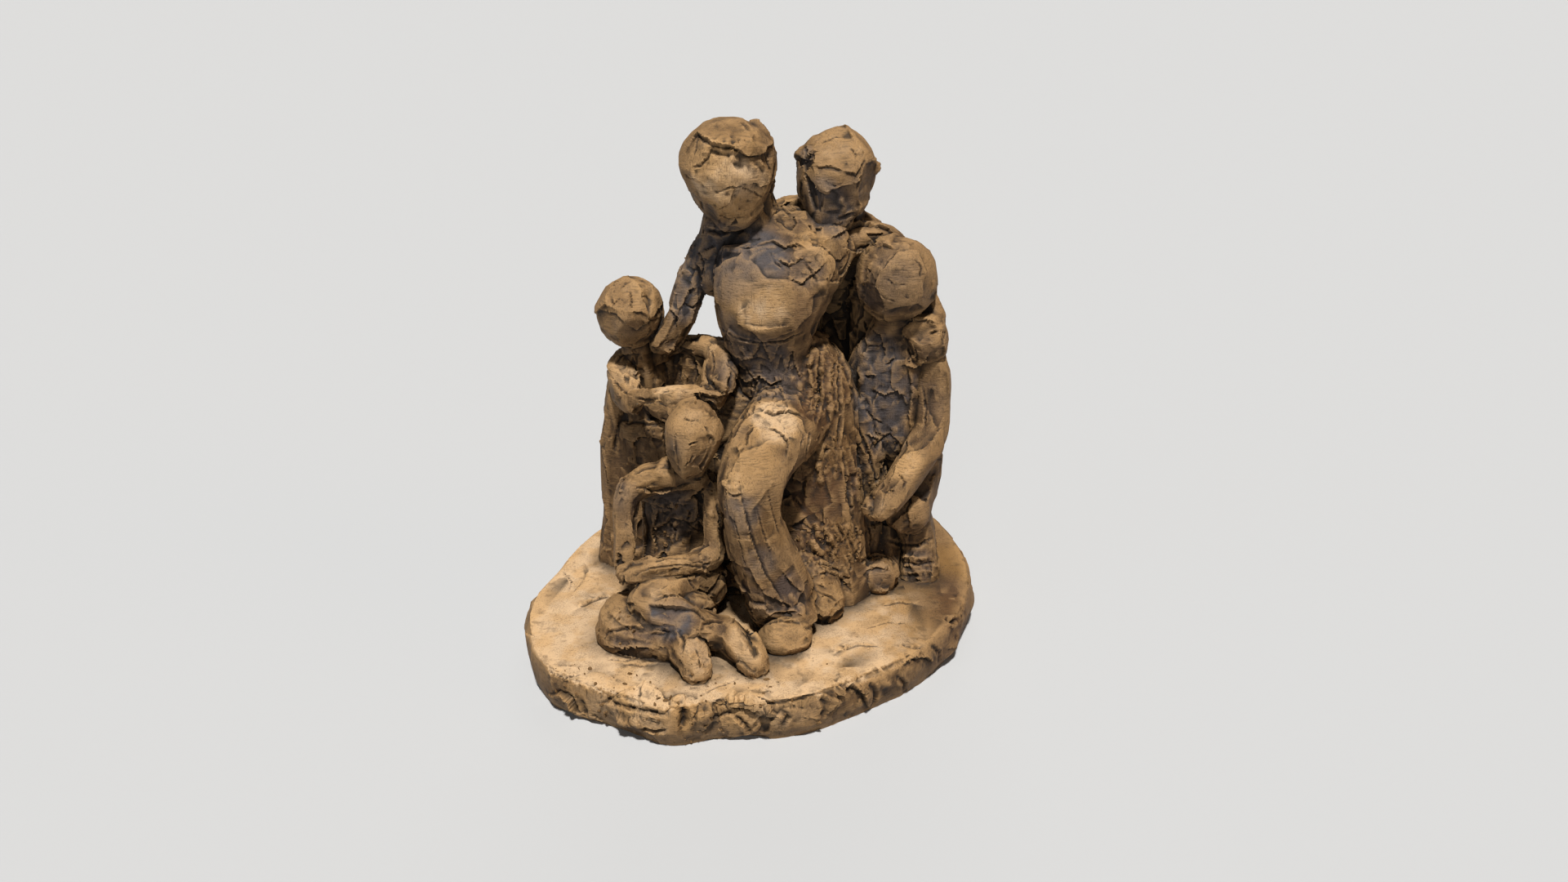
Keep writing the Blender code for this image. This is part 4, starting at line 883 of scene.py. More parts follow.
def mother(clay):
    """Seated on a rough block of clay, leaning her head towards the smaller children."""
    who = MOTHER
    loft(clay, who, [
        (9, -1, -2, 13, 14), (8.5, 1, 15, 11.5, 12), (8, 3, 30, 10.5, 10.5),
        (8, 3.6, 42, 9.6, 9), (6, 3.5, 50, 8, 7),
    ], square=3.0)
    loft(clay, who, [
        (19, 3, -2, 5, 7), (19.6, 3.4, 14, 4.6, 6), (19.6, 4.4, 28, 4.8, 6), (18, 5.5, 40, 4, 5.5),
    ], square=2.6)
    loft(clay, who, [
        (-8, 1, -2, 9, 10), (-8, 1.5, 20, 8.4, 9), (-8, 2, 34, 8, 8), (-6.5, 2, 41, 7, 7),
    ], square=2.8)
    loft(clay, who, [
        (-18, 9, -2, 12, 6), (-18, 9, 20, 11, 5.4), (-17, 9, 38, 10, 4.8), (-15, 9, 50, 8.5, 4.2),
    ], square=2.8)
    limb(clay, who, [(-12, 12, 50, 2.4), (-13, 14, 30, 2.8), (-15, 15.5, 6, 3.4), (-15.5, 16, -1, 3.6)])
    limb(clay, who, [(-20, 11.5, 46, 2.0), (-21, 13.5, 26, 2.6), (-22, 14.5, 5, 3.2), (-22, 14.5, -1, 3.4)])
    limb(clay, who, [(-5, 12, 58, 3.4), (-5, 13, 40, 4.2), (-6, 14, 16, 5.0), (-6, 15, -1, 5.6)])
    loft(clay, who, [(2, 9, 30, 9, 6), (2, 9, 50, 8, 5.5), (2, 9, 66, 8.5, 5), (1, 8, 74, 7, 4)], square=2.6)
    loft(clay, who, [
        (3.0, 1, 41, 9.0, 8.0), (0.4, 1, 49, 8.4, 6.4),
        (-0.7, 0.6, 54, 8.4, 6.2), (-1.0, -0.3, 58.5, 9.6, 7.0),
        (-1.0, -0.6, 63.0, 11.0, 8.7), (0.0, 0.6, 68, 12.2, 8.4),
        (1.0, 3.2, 73.5, 12.0, 6.8), (0.5, 4.5, 78, 8.0, 5.0),
    ], square=2.3, sides=16)
    limb(clay, who, [(0.5, 5, 74, 6.2), (-3.0, 4, 80, 4.6), (-5.2, 3, 86, 4.6)])
    lump(clay, who, (-8.5, 1.2, 89.2), (9.8, 9.2, 10.8), turn=(-12, 0, 0), taper=0.20, cuts=[
        (-25, 8, 0.88), (30, -10, 0.88), (-60, -35, 0.84), (0, -50, 0.90), (85, 0, 0.93), (-80, 25, 0.92),
    ])
    lump(clay, who, (-8.2, 1.4, 95.5), (8.7, 9.2, 3.9), turn=(-4, 6, 0), cuts=[
        (-10, 62, 0.76), (70, 40, 0.88), (-75, 40, 0.80), (180, 40, 0.88), (90, 0, 0.92),
    ])
    lump(clay, who, (-9.3, 0.9, 91.4), (9.0, 9.0, 8.0), turn=(-6, 0, 0), cuts=[
        (-20, 20, 0.92), (35, 10, 0.92),
    ])
    lump(clay, who, (-8.4, 1.6, 97.4), (4.6, 4.4, 2.9), turn=(0, 4, 0))
    lump(clay, who, (-3.0, 2.6, 96.6), (2.6, 2.8, 2.5))
    lump(clay, who, (10.4, 3.2, 72.8), (5.8, 5.2, 6.8), cuts=[(20, 10, 0.82), (80, -20, 0.9)])
    lump(clay, who, (6.4, -1.2, 70.6), (7.2, 5.2, 6.0), turn=(0, 25, 0), cuts=[(10, 20, 0.80)])
    block(clay, who, (-11.4, 4.4, 76.4), (3.6, 3.8, 4.2), turn=(0, 18, 10))
    lump(clay, who, (-12.0, 4.6, 72.0), (4.6, 4.0, 8.0), turn=(0, 6, 0))
    limb(clay, who, [
        (-12.0, 5.2, 76.5, 3.3), (-15.4, 5.4, 70, 3.4), (-17.8, 4.8, 64, 3.2), (-20.4, 4.0, 57.5, 2.9),
        (-23.0, 3.4, 54.0, 2.9),
    ])
    loft(clay, who, [
        (11.5, 5.4, 74.0, 3.2, 3.4), (18.0, 7.6, 75.0, 3.2, 3.4), (23.6, 9.4, 74.6, 2.8, 3.0),
        (26.6, 9.2, 71.5, 2.2, 2.4),
    ], across=(0, 0, 1), square=2.8)
    loft(clay, who, [
        (4.5, 3, 40, 7.5, 8.5), (1.6, -8, 39.6, 6.6, 7.9), (-1.8, -15, 37.5, 6.0, 7.4),
        (-4.4, -20, 32.5, 5.4, 6.4), (-4.1, -20.6, 25, 5.6, 5.8), (-2.2, -20.6, 17.0, 6.0, 6.6),
        (0.4, -20.2, 9.5, 6.4, 7.0), (1.6, -19.2, 4.5, 5.6, 7.4),
    ], across=(0.17, -1, 0.6), square=3.2, sides=16)
    loft(clay, who, [
        (0.8, -19.5, 8.0, 4.0, 3.6), (3.8, -22.6, 5.6, 3.8, 3.2), (5.8, -24.6, 4.0, 3.4, 2.8),
    ], square=2.4)
    loft(clay, who, [
        (5.5, -12.5, 8.0, 5.0, 4.4), (8.8, -15.8, 5.2, 5.2, 4.0), (11.6, -18.4, 3.2, 4.6, 3.4),
    ], square=2.6)
    lump(clay, who, (2.4, -27.8, 1.9), (5.4, 4.4, 3.6), turn=(0, -6, 10), cuts=[(20, 40, 0.86)])


def man(clay):
    """Standing behind, one arm over the older child's shoulder and the other round the mother."""
    who = MAN
    loft(clay, who, [
        (-1.5, 4.5, 36, 9.6, 7.4), (-1.5, 4.8, 45, 10, 7.6),
        (-2, 3.4, 58, 9.0, 6.6), (-2, 2.0, 68, 10.2, 7.0),
        (-2.5, 0.4, 76, 10.4, 6.0), (-1, -2, 81, 6.0, 4.4),
    ], square=2.5, sides=16)
    loft(clay, who, [
        (-6.6, 4.5, -2, 6.4, 8.2), (-6.2, 5, 14, 5.6, 7.0), (-6, 5, 30, 5.6, 6.8), (-5.6, 5, 42, 5, 7),
    ])
    loft(clay, who, [
        (4.6, 6, -2, 6.4, 8.2), (4.2, 5.5, 14, 5.6, 7.0), (3.6, 5, 30, 5.6, 6.8), (3, 5, 42, 5, 7),
    ])
    loft(clay, who, [
        (8, -4, 2, 5, 8), (7.5, -3, 30, 4.6, 7), (6, -3, 52, 4.6, 6), (5, -3, 66, 4, 5),
    ], square=2.6)
    limb(clay, who, [(-1, -1, 78, 5.0), (-1, -4, 82, 4.6), (-2, -7, 87, 4.6)])
    lump(clay, who, (-2.4, -9.8, 89.6), (8.8, 8.9, 11.2), turn=(-15, 10, 0), taper=0.25, cuts=[
        (0, 46, 0.82), (5, -18, 0.88), (-55, -10, 0.92), (62, -8, 0.88), (120, 10, 0.92), (60, 50, 0.92),
    ])
    lump(clay, who, (-8.6, -9.5, 94.0), (2.4, 2.4, 2.6))
    lump(clay, who, (5.2, -9.0, 92.0), (1.6, 1.8, 2.0))
    limb(clay, who, [
        (1.0, 0, 78.2, 4.4), (4.6, -0.8, 78.0, 3.6), (7.4, -1.6, 74.2, 3.0), (10.4, -2.4, 67.6, 2.8),
        (16.6, -9.0, 64.8, 2.9), (19.2, -12.2, 60.6, 3.0),
    ])
    lump(clay, who, (17.4, -14.6, 57.0), (5.4, 4.2, 5.4), turn=(10, 20, 0), cuts=[
        (-10, 25, 0.80), (60, 10, 0.85), (-60, -20, 0.85),
    ])
    limb(clay, who, [
        (-6, 0.5, 79, 4.2), (-12.2, -1.2, 82.4, 3.0), (-17.5, -5.0, 75, 3.2), (-22, -8, 68, 3.0),
    ])


def older_child(clay):
    """Standing at the right with bent knees, one hand hanging in front."""
    who = OLDER_CHILD
    lump(clay, who, (-5.8, 0.8, 89.2), (11.6, 11.2, 11.8), turn=(0, 20, 0), taper=0.12, cuts=[
        (0, 18, 0.95), (-50, -20, 0.92), (48, 0, 0.94), (10, -48, 0.90), (90, 10, 0.95),
    ])
    limb(clay, who, [(-7, 3, 66, 6), (-6.4, 3.5, 76, 5.6), (-5.0, 3, 82, 5.6)])
    loft(clay, who, [
        (2.8, 5, 23, 6.5, 6.5), (2.6, 4.5, 33, 8.0, 7.0),
        (-3.4, 3.6, 42, 8.0, 6.8), (-6.4, 3, 51, 9.0, 6.8),
        (-6.6, 3, 60, 9.0, 6.6), (-6.2, 3, 68, 9.4, 6.4), (-5.5, 3.4, 73.5, 7.8, 5.2),
    ], square=2.4, sides=14)
    loft(clay, who, [
        (3.5, 2.6, 70, 3.6, 3.6), (5.9, 1.0, 62, 4.8, 4.2),
        (6.2, 0, 54, 4.8, 4.2), (5.8, -2.6, 46.5, 4.9, 4.2),
        (2.2, -6.6, 40.4, 4.9, 4.2), (-3.0, -10.6, 34.6, 4.6, 4.0), (-8.0, -14.4, 29.6, 4.6, 3.4),
        (-10.8, -16.0, 27.0, 4.2, 3.0),
    ], across=(0.7, -0.3, 0.2), square=2.6)
    limb(clay, who, [(-12, 4, 68, 4.0), (-17.5, 4, 60, 3.6), (-22, 3, 62, 3.4), (-26, 2, 66, 3.2)])
    limb(clay, who, [(2.5, 5, 33, 7.0), (1.8, 0, 26, 6.8), (0.2, -4.4, 21.2, 6.6)])
    lump(clay, who, (-0.4, -6.2, 21.6), (6.8, 5.4, 7.0), cuts=[(10, -35, 0.84)])
    loft(clay, who, [
        (1.2, -1.6, 19, 5.4, 5.0), (3.6, -0.4, 12, 5.3, 5.6),
        (4.2, -2.2, 5, 5.6, 6.0), (4.0, -3.6, -2, 6.2, 6.6),
    ], square=2.8)
    limb(clay, who, [(-5, 7, 34, 6.4), (-6.4, 4, 20, 6.2), (-7, -1, 8, 5.6), (-7.6, -6, 3, 5.2)])
    lump(clay, who, (-8.4, -11.5, 4.2), (5.6, 5.6, 5.6), cuts=[(0, 35, 0.84), (30, 0, 0.88)])


def leaning_child(clay):
    """Standing at the left in a long garment, both arms laid in a ring on the mother's lap."""
    who = LEANING_CHILD
    lump(clay, who, (3.1, -2.4, 89.6), (10.4, 10.4, 10.8), cuts=[
        (-8, 52, 0.84), (-35, 0, 0.88), (20, -30, 0.84), (-70, 30, 0.90), (65, 20, 0.86), (-60, -40, 0.95),
    ])
    limb(clay, who, [(5.4, 1.5, 66, 5.4), (5.0, 0, 74, 4.7), (4.6, -1, 82, 4.8)])
    loft(clay, who, [
        (-1.0, 4, -2, 12.0, 8.5), (-0.5, 3.5, 14, 10.8, 7.6),
        (0.5, 3.5, 30, 9.8, 7.0), (1.2, 3, 45, 9.8, 6.8),
        (2.5, 3, 58, 9.6, 6.6), (5.6, 3.5, 68, 9.4, 5.6), (6.6, 3.5, 72.5, 7.0, 4.2),
    ], square=2.6, sides=16)
    loft(clay, who, [
        (-2.6, -0.5, 60, 3.6, 4.2), (-4.6, 0.2, 50, 3.7, 4.4), (-6.2, 1.0, 38, 3.4, 4.2),
        (-6.6, 2.0, 20, 3.6, 4.4), (-8.0, 3.2, 2, 4.2, 5.0), (-8.0, 3.2, -2, 4.2, 5.0),
    ], square=2.8, sides=8)
    block(clay, who, (6.8, -2.0, 45.5), (8.4, 4.0, 8.0), turn=(6, 0, -8), soft=0.5)
    loft(clay, who, [
        (1.6, 0.8, 72.0, 4.4, 4.4), (-0.6, -2.8, 69.2, 5.0, 4.6), (1.2, -8.0, 66.2, 5.0, 4.4),
        (4.0, -12.8, 63.8, 4.6, 4.2),
    ], across=(0, 0, 1), square=3.2, sides=12)
    loft(clay, who, [
        (3.4, -12.8, 64.8, 3.8, 3.6), (9.0, -16.2, 67.0, 2.5, 2.8), (18.0, -19.4, 68.8, 2.2, 2.8),
        (26.5, -21.0, 69.6, 2.8, 3.2),
    ], across=(0, 0, 1), square=3.2, sides=12)
    loft(clay, who, [
        (9.0, 2.0, 74.2, 3.4, 3.8), (16.0, 2.0, 76.8, 2.6, 3.4), (24.0, 1.0, 77.8, 2.6, 3.6),
        (30.8, -3.2, 77.2, 3.4, 4.4), (31.4, -10.0, 75.0, 4.0, 4.8), (30.8, -16.0, 71.6, 4.2, 4.8),
        (29.4, -20.6, 68.4, 3.6, 4.0),
    ], across=(0, 0, 1), square=3.0, sides=12)
    limb(clay, who, [(8, 0, 60, 4.2), (16, -8, 58.5, 3.6), (22, -14, 60, 3.2)])


def seated_child(clay):
    """Sitting cross-legged in front, its arms folded down over its lap."""
    who = SEATED_CHILD
    lump(clay, who, (8.4, 0.6, 83.6), (12.8, 13.0, 17.2), turn=(-24, 12, 0), taper=0.38, cuts=[
        (-48, -6, 0.88), (20, -6, 0.92), (60, 10, 0.94),
    ])
    limb(clay, who, [(4, 12, 58, 7.0), (6.5, 9, 66, 6.6), (9, 6, 74, 7.2)])
    loft(clay, who, [
        (0, 9, -3, 19, 13), (-1, 13, 10, 17, 11), (-1, 18, 28, 16, 8.5), (0, 18, 44, 15.5, 8.0),
        (0.5, 15.5, 56, 16.5, 7.8), (2, 12.5, 63, 13, 6.5),
    ], square=2.6, sides=16)
    loft(clay, who, [
        (9, 9, 62.5, 6.6, 6.2), (-2, 8.4, 63.6, 6.6, 6.2),
        (-12, 6.8, 62.6, 6.4, 6.0), (-19.4, 4.0, 57.0, 5.8, 5.6),
        (-21.4, 2.0, 48, 4.8, 5.2), (-21.4, -1.0, 38, 4.4, 4.8), (-21.4, -4.6, 27, 4.8, 4.8),
    ], across=(0, -0.5, 1), square=3.0, sides=12)
    loft(clay, who, [
        (12, 11.5, 61, 4.2, 4.6), (15.6, 9.6, 56, 3.7, 4.2),
        (16.0, 6.0, 45, 3.3, 3.8), (16.6, 2.0, 34, 4.0, 4.2),
        (14.0, -2.6, 30, 4.6, 5.2), (5.0, -8.4, 31, 4.0, 4.4), (-4.0, -11.8, 31.4, 3.8, 4.0),
        (-13.0, -13.2, 29.8, 3.8, 4.0), (-21.2, -13.0, 27.4, 3.8, 4.2),
    ], across=(0.4, 0, 1), square=2.8, sides=12)
    loft(clay, who, [
        (13, 4, 14, 9.0, 9.0), (3, -6.5, 18.6, 9.0, 9.0),
        (-6, -14.5, 20.0, 8.2, 8.4), (-10.4, -18.4, 19.4, 6.4, 6.4),
    ], across=(0, 0, 1), square=3.4, sides=12)
    loft(clay, who, [
        (-12.4, -18.0, 17.0, 8.2, 6.6), (-9.0, -20.8, 15.6, 9.0, 7.4), (0, -24.0, 13.6, 8.6, 7.4),
        (10, -27.0, 11.4, 7.8, 6.8), (18.6, -29.2, 9.8, 6.6, 6.2),
    ], across=(0, -0.3, 1), square=3.6, sides=12)
    lump(clay, who, (6, -14.5, 12.5), (12, 8, 7.5), turn=(0, 10, -12))
    loft(clay, who, [
        (18.5, -27.0, 9.8, 5.8, 5.4), (23.6, -29.6, 9.6, 7.0, 6.4), (28.4, -34.2, 8.0, 7.2, 7.0),
        (33.0, -39.4, 5.2, 6.2, 6.6), (35.6, -43.6, 3.0, 4.2, 5.0),
    ], across=(0, 0, 1), square=3.6, sides=8)
    loft(clay, who, [
        (-11, 0, 5.5, 9.0, 9.0), (-18.5, -10.0, 6.6, 9.8, 9.4), (-23.6, -18.0, 6.4, 10.2, 9.4),
        (-19.4, -24.0, 5.0, 9.0, 8.2), (-9.6, -27.6, 4.4, 8.0, 7.2), (0.0, -31.0, 4.0, 6.8, 6.4),
    ], across=(0, -0.2, 1), square=3.4, sides=12)
    loft(clay, who, [
        (3.0, -32.0, 6.2, 6.2, 6.0), (6.6, -36.0, 7.0, 7.2, 7.0), (10.0, -41.4, 5.4, 6.8, 6.6),
        (11.6, -47.0, 2.6, 4.6, 5.2),
    ], across=(0, 0, 1), square=3.6, sides=8)


def outer_shell(mesh):
    """Drops every pocket that the fused forms enclose, keeping the largest shell."""
    shape = bmesh.new()
    shape.from_mesh(mesh)
    left = set(shape.verts)
    shells = []
    while left:
        stack = [left.pop()]
        shell = list(stack)
        while stack:
            for edge in stack.pop().link_edges:
                for vert in edge.verts:
                    if vert in left:
                        left.remove(vert)
                        stack.append(vert)
                        shell.append(vert)
        shells.append(shell)
    shells.sort(key=len)
    bmesh.ops.delete(shape, geom=[vert for shell in shells[:-1] for vert in shell], context="VERTS")
    shape.to_mesh(mesh)
    shape.free()


def rough_skin():
    """All the forms fused into one dense skin of clay, with the marks of a spatula."""
    forms = bmesh.new()
    slab(forms)
    for person in (mother, man, older_child, leaning_child, seated_child):
        person(forms)
    mesh = bpy.data.meshes.new("worked_clay")
    forms.to_mesh(mesh)
    forms.free()
    piece = new_piece("worked_clay", mesh)
    dense = piece.modifiers.new("dense", "REMESH")
    dense.mode = "VOXEL"
    dense.voxel_size = SKIN_GRAIN
    settled(piece)
    skin = Skin(piece)
    skin.places = skin.eased(skin.places, EASE_ROUNDS, 0.5)
    for count, share, limit, step in SPATULA_PATCHES:
        skin.measure()
        skin.spatula(count, share, limit, step)
    skin.measure()
    return skin


def scratches(skin):
    """Rows of short shallow strokes, in different slants and lengths."""
    for ((x0, y0), (x1, y1)), count, tall in SCRATCH_ROWS:
        for k in range(count):
            x = x0 + (x1 - x0) * (k + 0.5) / count
            y = y0 + (y1 - y0) * (k + 0.5) / count
            lean = (-3, 1, 3, -1)[k % 4]
            half = tall * (0.5, 0.35, 0.45)[k % 3]
            skin.mark("groove", 0.45, 0.6, ((x - lean, y - half), (x, y), (x + lean, y + half)))


class Maths:
    """Node maths written as expressions: a socket with the usual operators."""

    def __init__(self, tree, socket):
        self.tree = tree
        self.socket = socket

    def node(self, kind, settings=(), inputs=(), output=0):
        """Adds a node: settings first, then values or links of its sockets."""
        made = self.tree.nodes.new(kind)
        for name, value in dict(settings).items():
            setattr(made, name, value)
        for name, value in dict(inputs).items():
            socket = made.inputs[name]
            if isinstance(value, Maths):
                self.tree.links.new(value.socket, socket)
            else:
                socket.default_value = value
        return Maths(self.tree, made.outputs[output])

    def maths(self, operation, *values):
        return self.node("ShaderNodeMath", {"operation": operation}, dict(enumerate(values)))

    def vector_maths(self, operation, *values, output="Vector"):
        return self.node("ShaderNodeVectorMath", {"operation": operation}, dict(enumerate(values)), output)

    def __add__(self, other):
        return self.maths("ADD", self, other)

    def __radd__(self, other):
        return self.maths("ADD", other, self)

    def __sub__(self, other):
        return self.maths("SUBTRACT", self, other)

    def __rsub__(self, other):
        return self.maths("SUBTRACT", other, self)

    def __mul__(self, other):
        return self.maths("MULTIPLY", self, other)

    def __rmul__(self, other):
        return self.maths("MULTIPLY", other, self)

    def __truediv__(self, other):
        return self.maths("DIVIDE", self, other)

    def __rtruediv__(self, other):
        return self.maths("DIVIDE", other, self)

    def clamped(self):
        return self.node("ShaderNodeClamp", {}, {"Value": self})

    def between(self, low, high):
        """0 below low, 1 above high, and smooth in between."""
        return self.node("ShaderNodeMapRange", {"interpolation_type": "SMOOTHSTEP"},
                         {"Value": self, "From Min": low, "From Max": high})


def group_tree(name, sizes):
    """A Geometry Nodes tree with a mesh input, named number inputs and a mesh output."""
    tree = bpy.data.node_groups.new(name, "GeometryNodeTree")
    tree.interface.new_socket("Geometry", in_out="INPUT", socket_type="NodeSocketGeometry")
    for label, value in sizes.items():
        socket = tree.interface.new_socket(label, in_out="INPUT", socket_type="NodeSocketFloat")
        socket.default_value = value
    tree.interface.new_socket("Geometry", in_out="OUTPUT", socket_type="NodeSocketGeometry")
    given = tree.nodes.new("NodeGroupInput")
    result = tree.nodes.new("NodeGroupOutput")
    return tree, {socket.name: Maths(tree, socket) for socket in given.outputs if socket.name}, result


def apply_tree(piece, tree, sizes):
    """Runs a tree on a piece and keeps the result as its plain mesh."""
    nodes = piece.modifiers.new(tree.name, "NODES")
    nodes.node_group = tree
    for item in tree.interface.items_tree:
        if item.in_out == "INPUT" and item.name in sizes:
            nodes[item.identifier] = sizes[item.name]
    settled(piece)


def relief_tree(material):
    """Flakes, tears and grain on the whole surface, as strong as the painted values say."""
    sizes = {
        "Tear width": 5 * MM, "Tear depth": 1.3 * MM, "Flake width": 7 * MM, "Flake depth": 0.65 * MM,
        "Grain width": 2.4 * MM, "Grain depth": 0.30 * MM,
    }
    tree, given, result = group_tree("clay relief", sizes)
    start = given["Geometry"]
    place = start.node("GeometryNodeInputPosition")
    normal = start.node("GeometryNodeInputNormal")

    def painted(name):
        return start.node("GeometryNodeInputNamedAttribute", {"data_type": "FLOAT"}, {"Name": name})

    def noise(at, scale, detail, roughness=0.55, output="Fac"):
        return start.node("ShaderNodeTexNoise", {"noise_dimensions": "3D", "normalize": True},
                          {"Vector": at, "Scale": scale, "Detail": detail, "Roughness": roughness}, output)

    def scaled(vector, factor):
        return start.node("ShaderNodeVectorMath", {"operation": "SCALE"}, {0: vector, "Scale": factor})

    def tilted_cells(width, stretch, warp):
        """Small planes that overlap at torn edges: in each cell the surface tilts its own way."""
        bent = noise(place, 1.4 / width, 2.0, output="Color")
        shift = scaled(start.vector_maths("SUBTRACT", bent, (0.5, 0.5, 0.5)), width * warp)
        at = start.vector_maths("MULTIPLY", start.vector_maths("ADD", place, shift), stretch)
        grid = {"Vector": at, "Scale": 1.0 / width}
        colour = start.node("ShaderNodeTexVoronoi", {"feature": "F1"}, grid, "Color")
        centre = Maths(tree, colour.socket.node.outputs["Position"])
        tilt = start.vector_maths("SUBTRACT", colour, (0.5, 0.5, 0.5))
        offset = start.vector_maths("SUBTRACT", at, centre)
        return start.vector_maths("DOT_PRODUCT", tilt, offset, output="Value") * 1.6 / width

    flaky, torn = painted("flaky"), painted("torn")
    flakes = tilted_cells(given["Flake width"], (1.0, 1.0, 0.8), 0.9)
    tall = start.vector_maths("MULTIPLY", place, (1.0, 1.0, 0.35))
    strings = noise(tall, 1.0 / given["Tear width"], 3.0, 0.6)
    strings = 1 - start.maths("ABSOLUTE", strings - 0.5) * 5.0
    lumps = noise(place, 1.2 / given["Tear width"], 3.0, 0.62) - 0.5
    grain = noise(place, 1.0 / given["Grain width"], 2.0, 0.6) - 0.5
    height = flakes * flaky * given["Flake depth"]
    height = height + (strings * 0.5 + lumps * 1.6) * torn * torn * given["Tear depth"]
    height = height + grain * (flaky * 0.4 + torn * 1.2) * given["Grain depth"]
    offset = scaled(normal, height)
    moved = start.node("GeometryNodeSetPosition", {}, {"Geometry": start, "Offset": offset})
    real = start.node("GeometryNodeRealizeInstances", {}, {"Geometry": moved})
    done = start.node("GeometryNodeSetMaterial", {}, {"Geometry": real})
    done.socket.node.inputs["Material"].default_value = material
    tree.links.new(done.socket, result.inputs[0])
    return tree, sizes


def crumb_tree(material):
    """Loose crumbs of clay scattered where the surface is torn."""
    sizes = {"Most per square metre": 70000.0, "Smallest": 0.30 * MM, "Largest": 1.5 * MM}
    tree, given, result = group_tree("clay crumbs", sizes)
    start = given["Geometry"]
    crumbly = start.node("GeometryNodeInputNamedAttribute", {"data_type": "FLOAT"}, {"Name": "crumbly"})
    spread = start.node("GeometryNodeDistributePointsOnFaces", {"distribute_method": "RANDOM"}, {
        "Mesh": start, "Density": crumbly * given["Most per square metre"], "Seed": SEED,
    }, "Points")
    ball = start.node("GeometryNodeMeshIcoSphere", {}, {"Radius": 1.0, "Subdivisions": 2}, "Mesh")
    chance = start.node("FunctionNodeRandomValue", {"data_type": "FLOAT"}, {"Seed": SEED}, 1)
    chance.socket.node.inputs[2].default_value = 0.0
    chance.socket.node.inputs[3].default_value = 1.0
    size = given["Smallest"] + (given["Largest"] - given["Smallest"]) * chance * chance * chance
    turn = start.node("FunctionNodeRandomValue", {"data_type": "FLOAT_VECTOR"}, {"Seed": SEED + 1}, 0)
    turn.socket.node.inputs[0].default_value = (0, 0, 0)
    turn.socket.node.inputs[1].default_value = (6.28, 6.28, 6.28)
    shape = start.node("FunctionNodeRandomValue", {"data_type": "FLOAT_VECTOR"}, {"Seed": SEED + 2}, 0)
    shape.socket.node.inputs[0].default_value = (0.5, 0.4, 0.3)
    shape.socket.node.inputs[1].default_value = (1.7, 1.2, 0.9)
    scale = start.vector_maths("SCALE", shape)
    tree.links.new(size.socket, scale.socket.node.inputs["Scale"])
    rotation = start.node("FunctionNodeEulerToRotation", {}, {"Euler": turn})
    placed = start.node("GeometryNodeInstanceOnPoints", {}, {
        "Points": spread, "Instance": ball, "Rotation": rotation, "Scale": scale,
    })
    real = start.node("GeometryNodeRealizeInstances", {}, {"Geometry": placed})
    place = start.node("GeometryNodeInputPosition")
    bent = start.node("ShaderNodeTexNoise", {}, {"Vector": place, "Scale": 1100.0, "Detail": 2.0}, "Color")
    shift = start.vector_maths("SCALE", start.vector_maths("SUBTRACT", bent, (0.5, 0.5, 0.5)))
    shift.socket.node.inputs["Scale"].default_value = 1.3 * MM
    moved = start.node("GeometryNodeSetPosition", {}, {"Geometry": real, "Offset": shift})
    done = start.node("GeometryNodeSetMaterial", {}, {"Geometry": moved})
    done.socket.node.inputs["Material"].default_value = material
    tree.links.new(done.socket, result.inputs[0])
    return tree, sizes


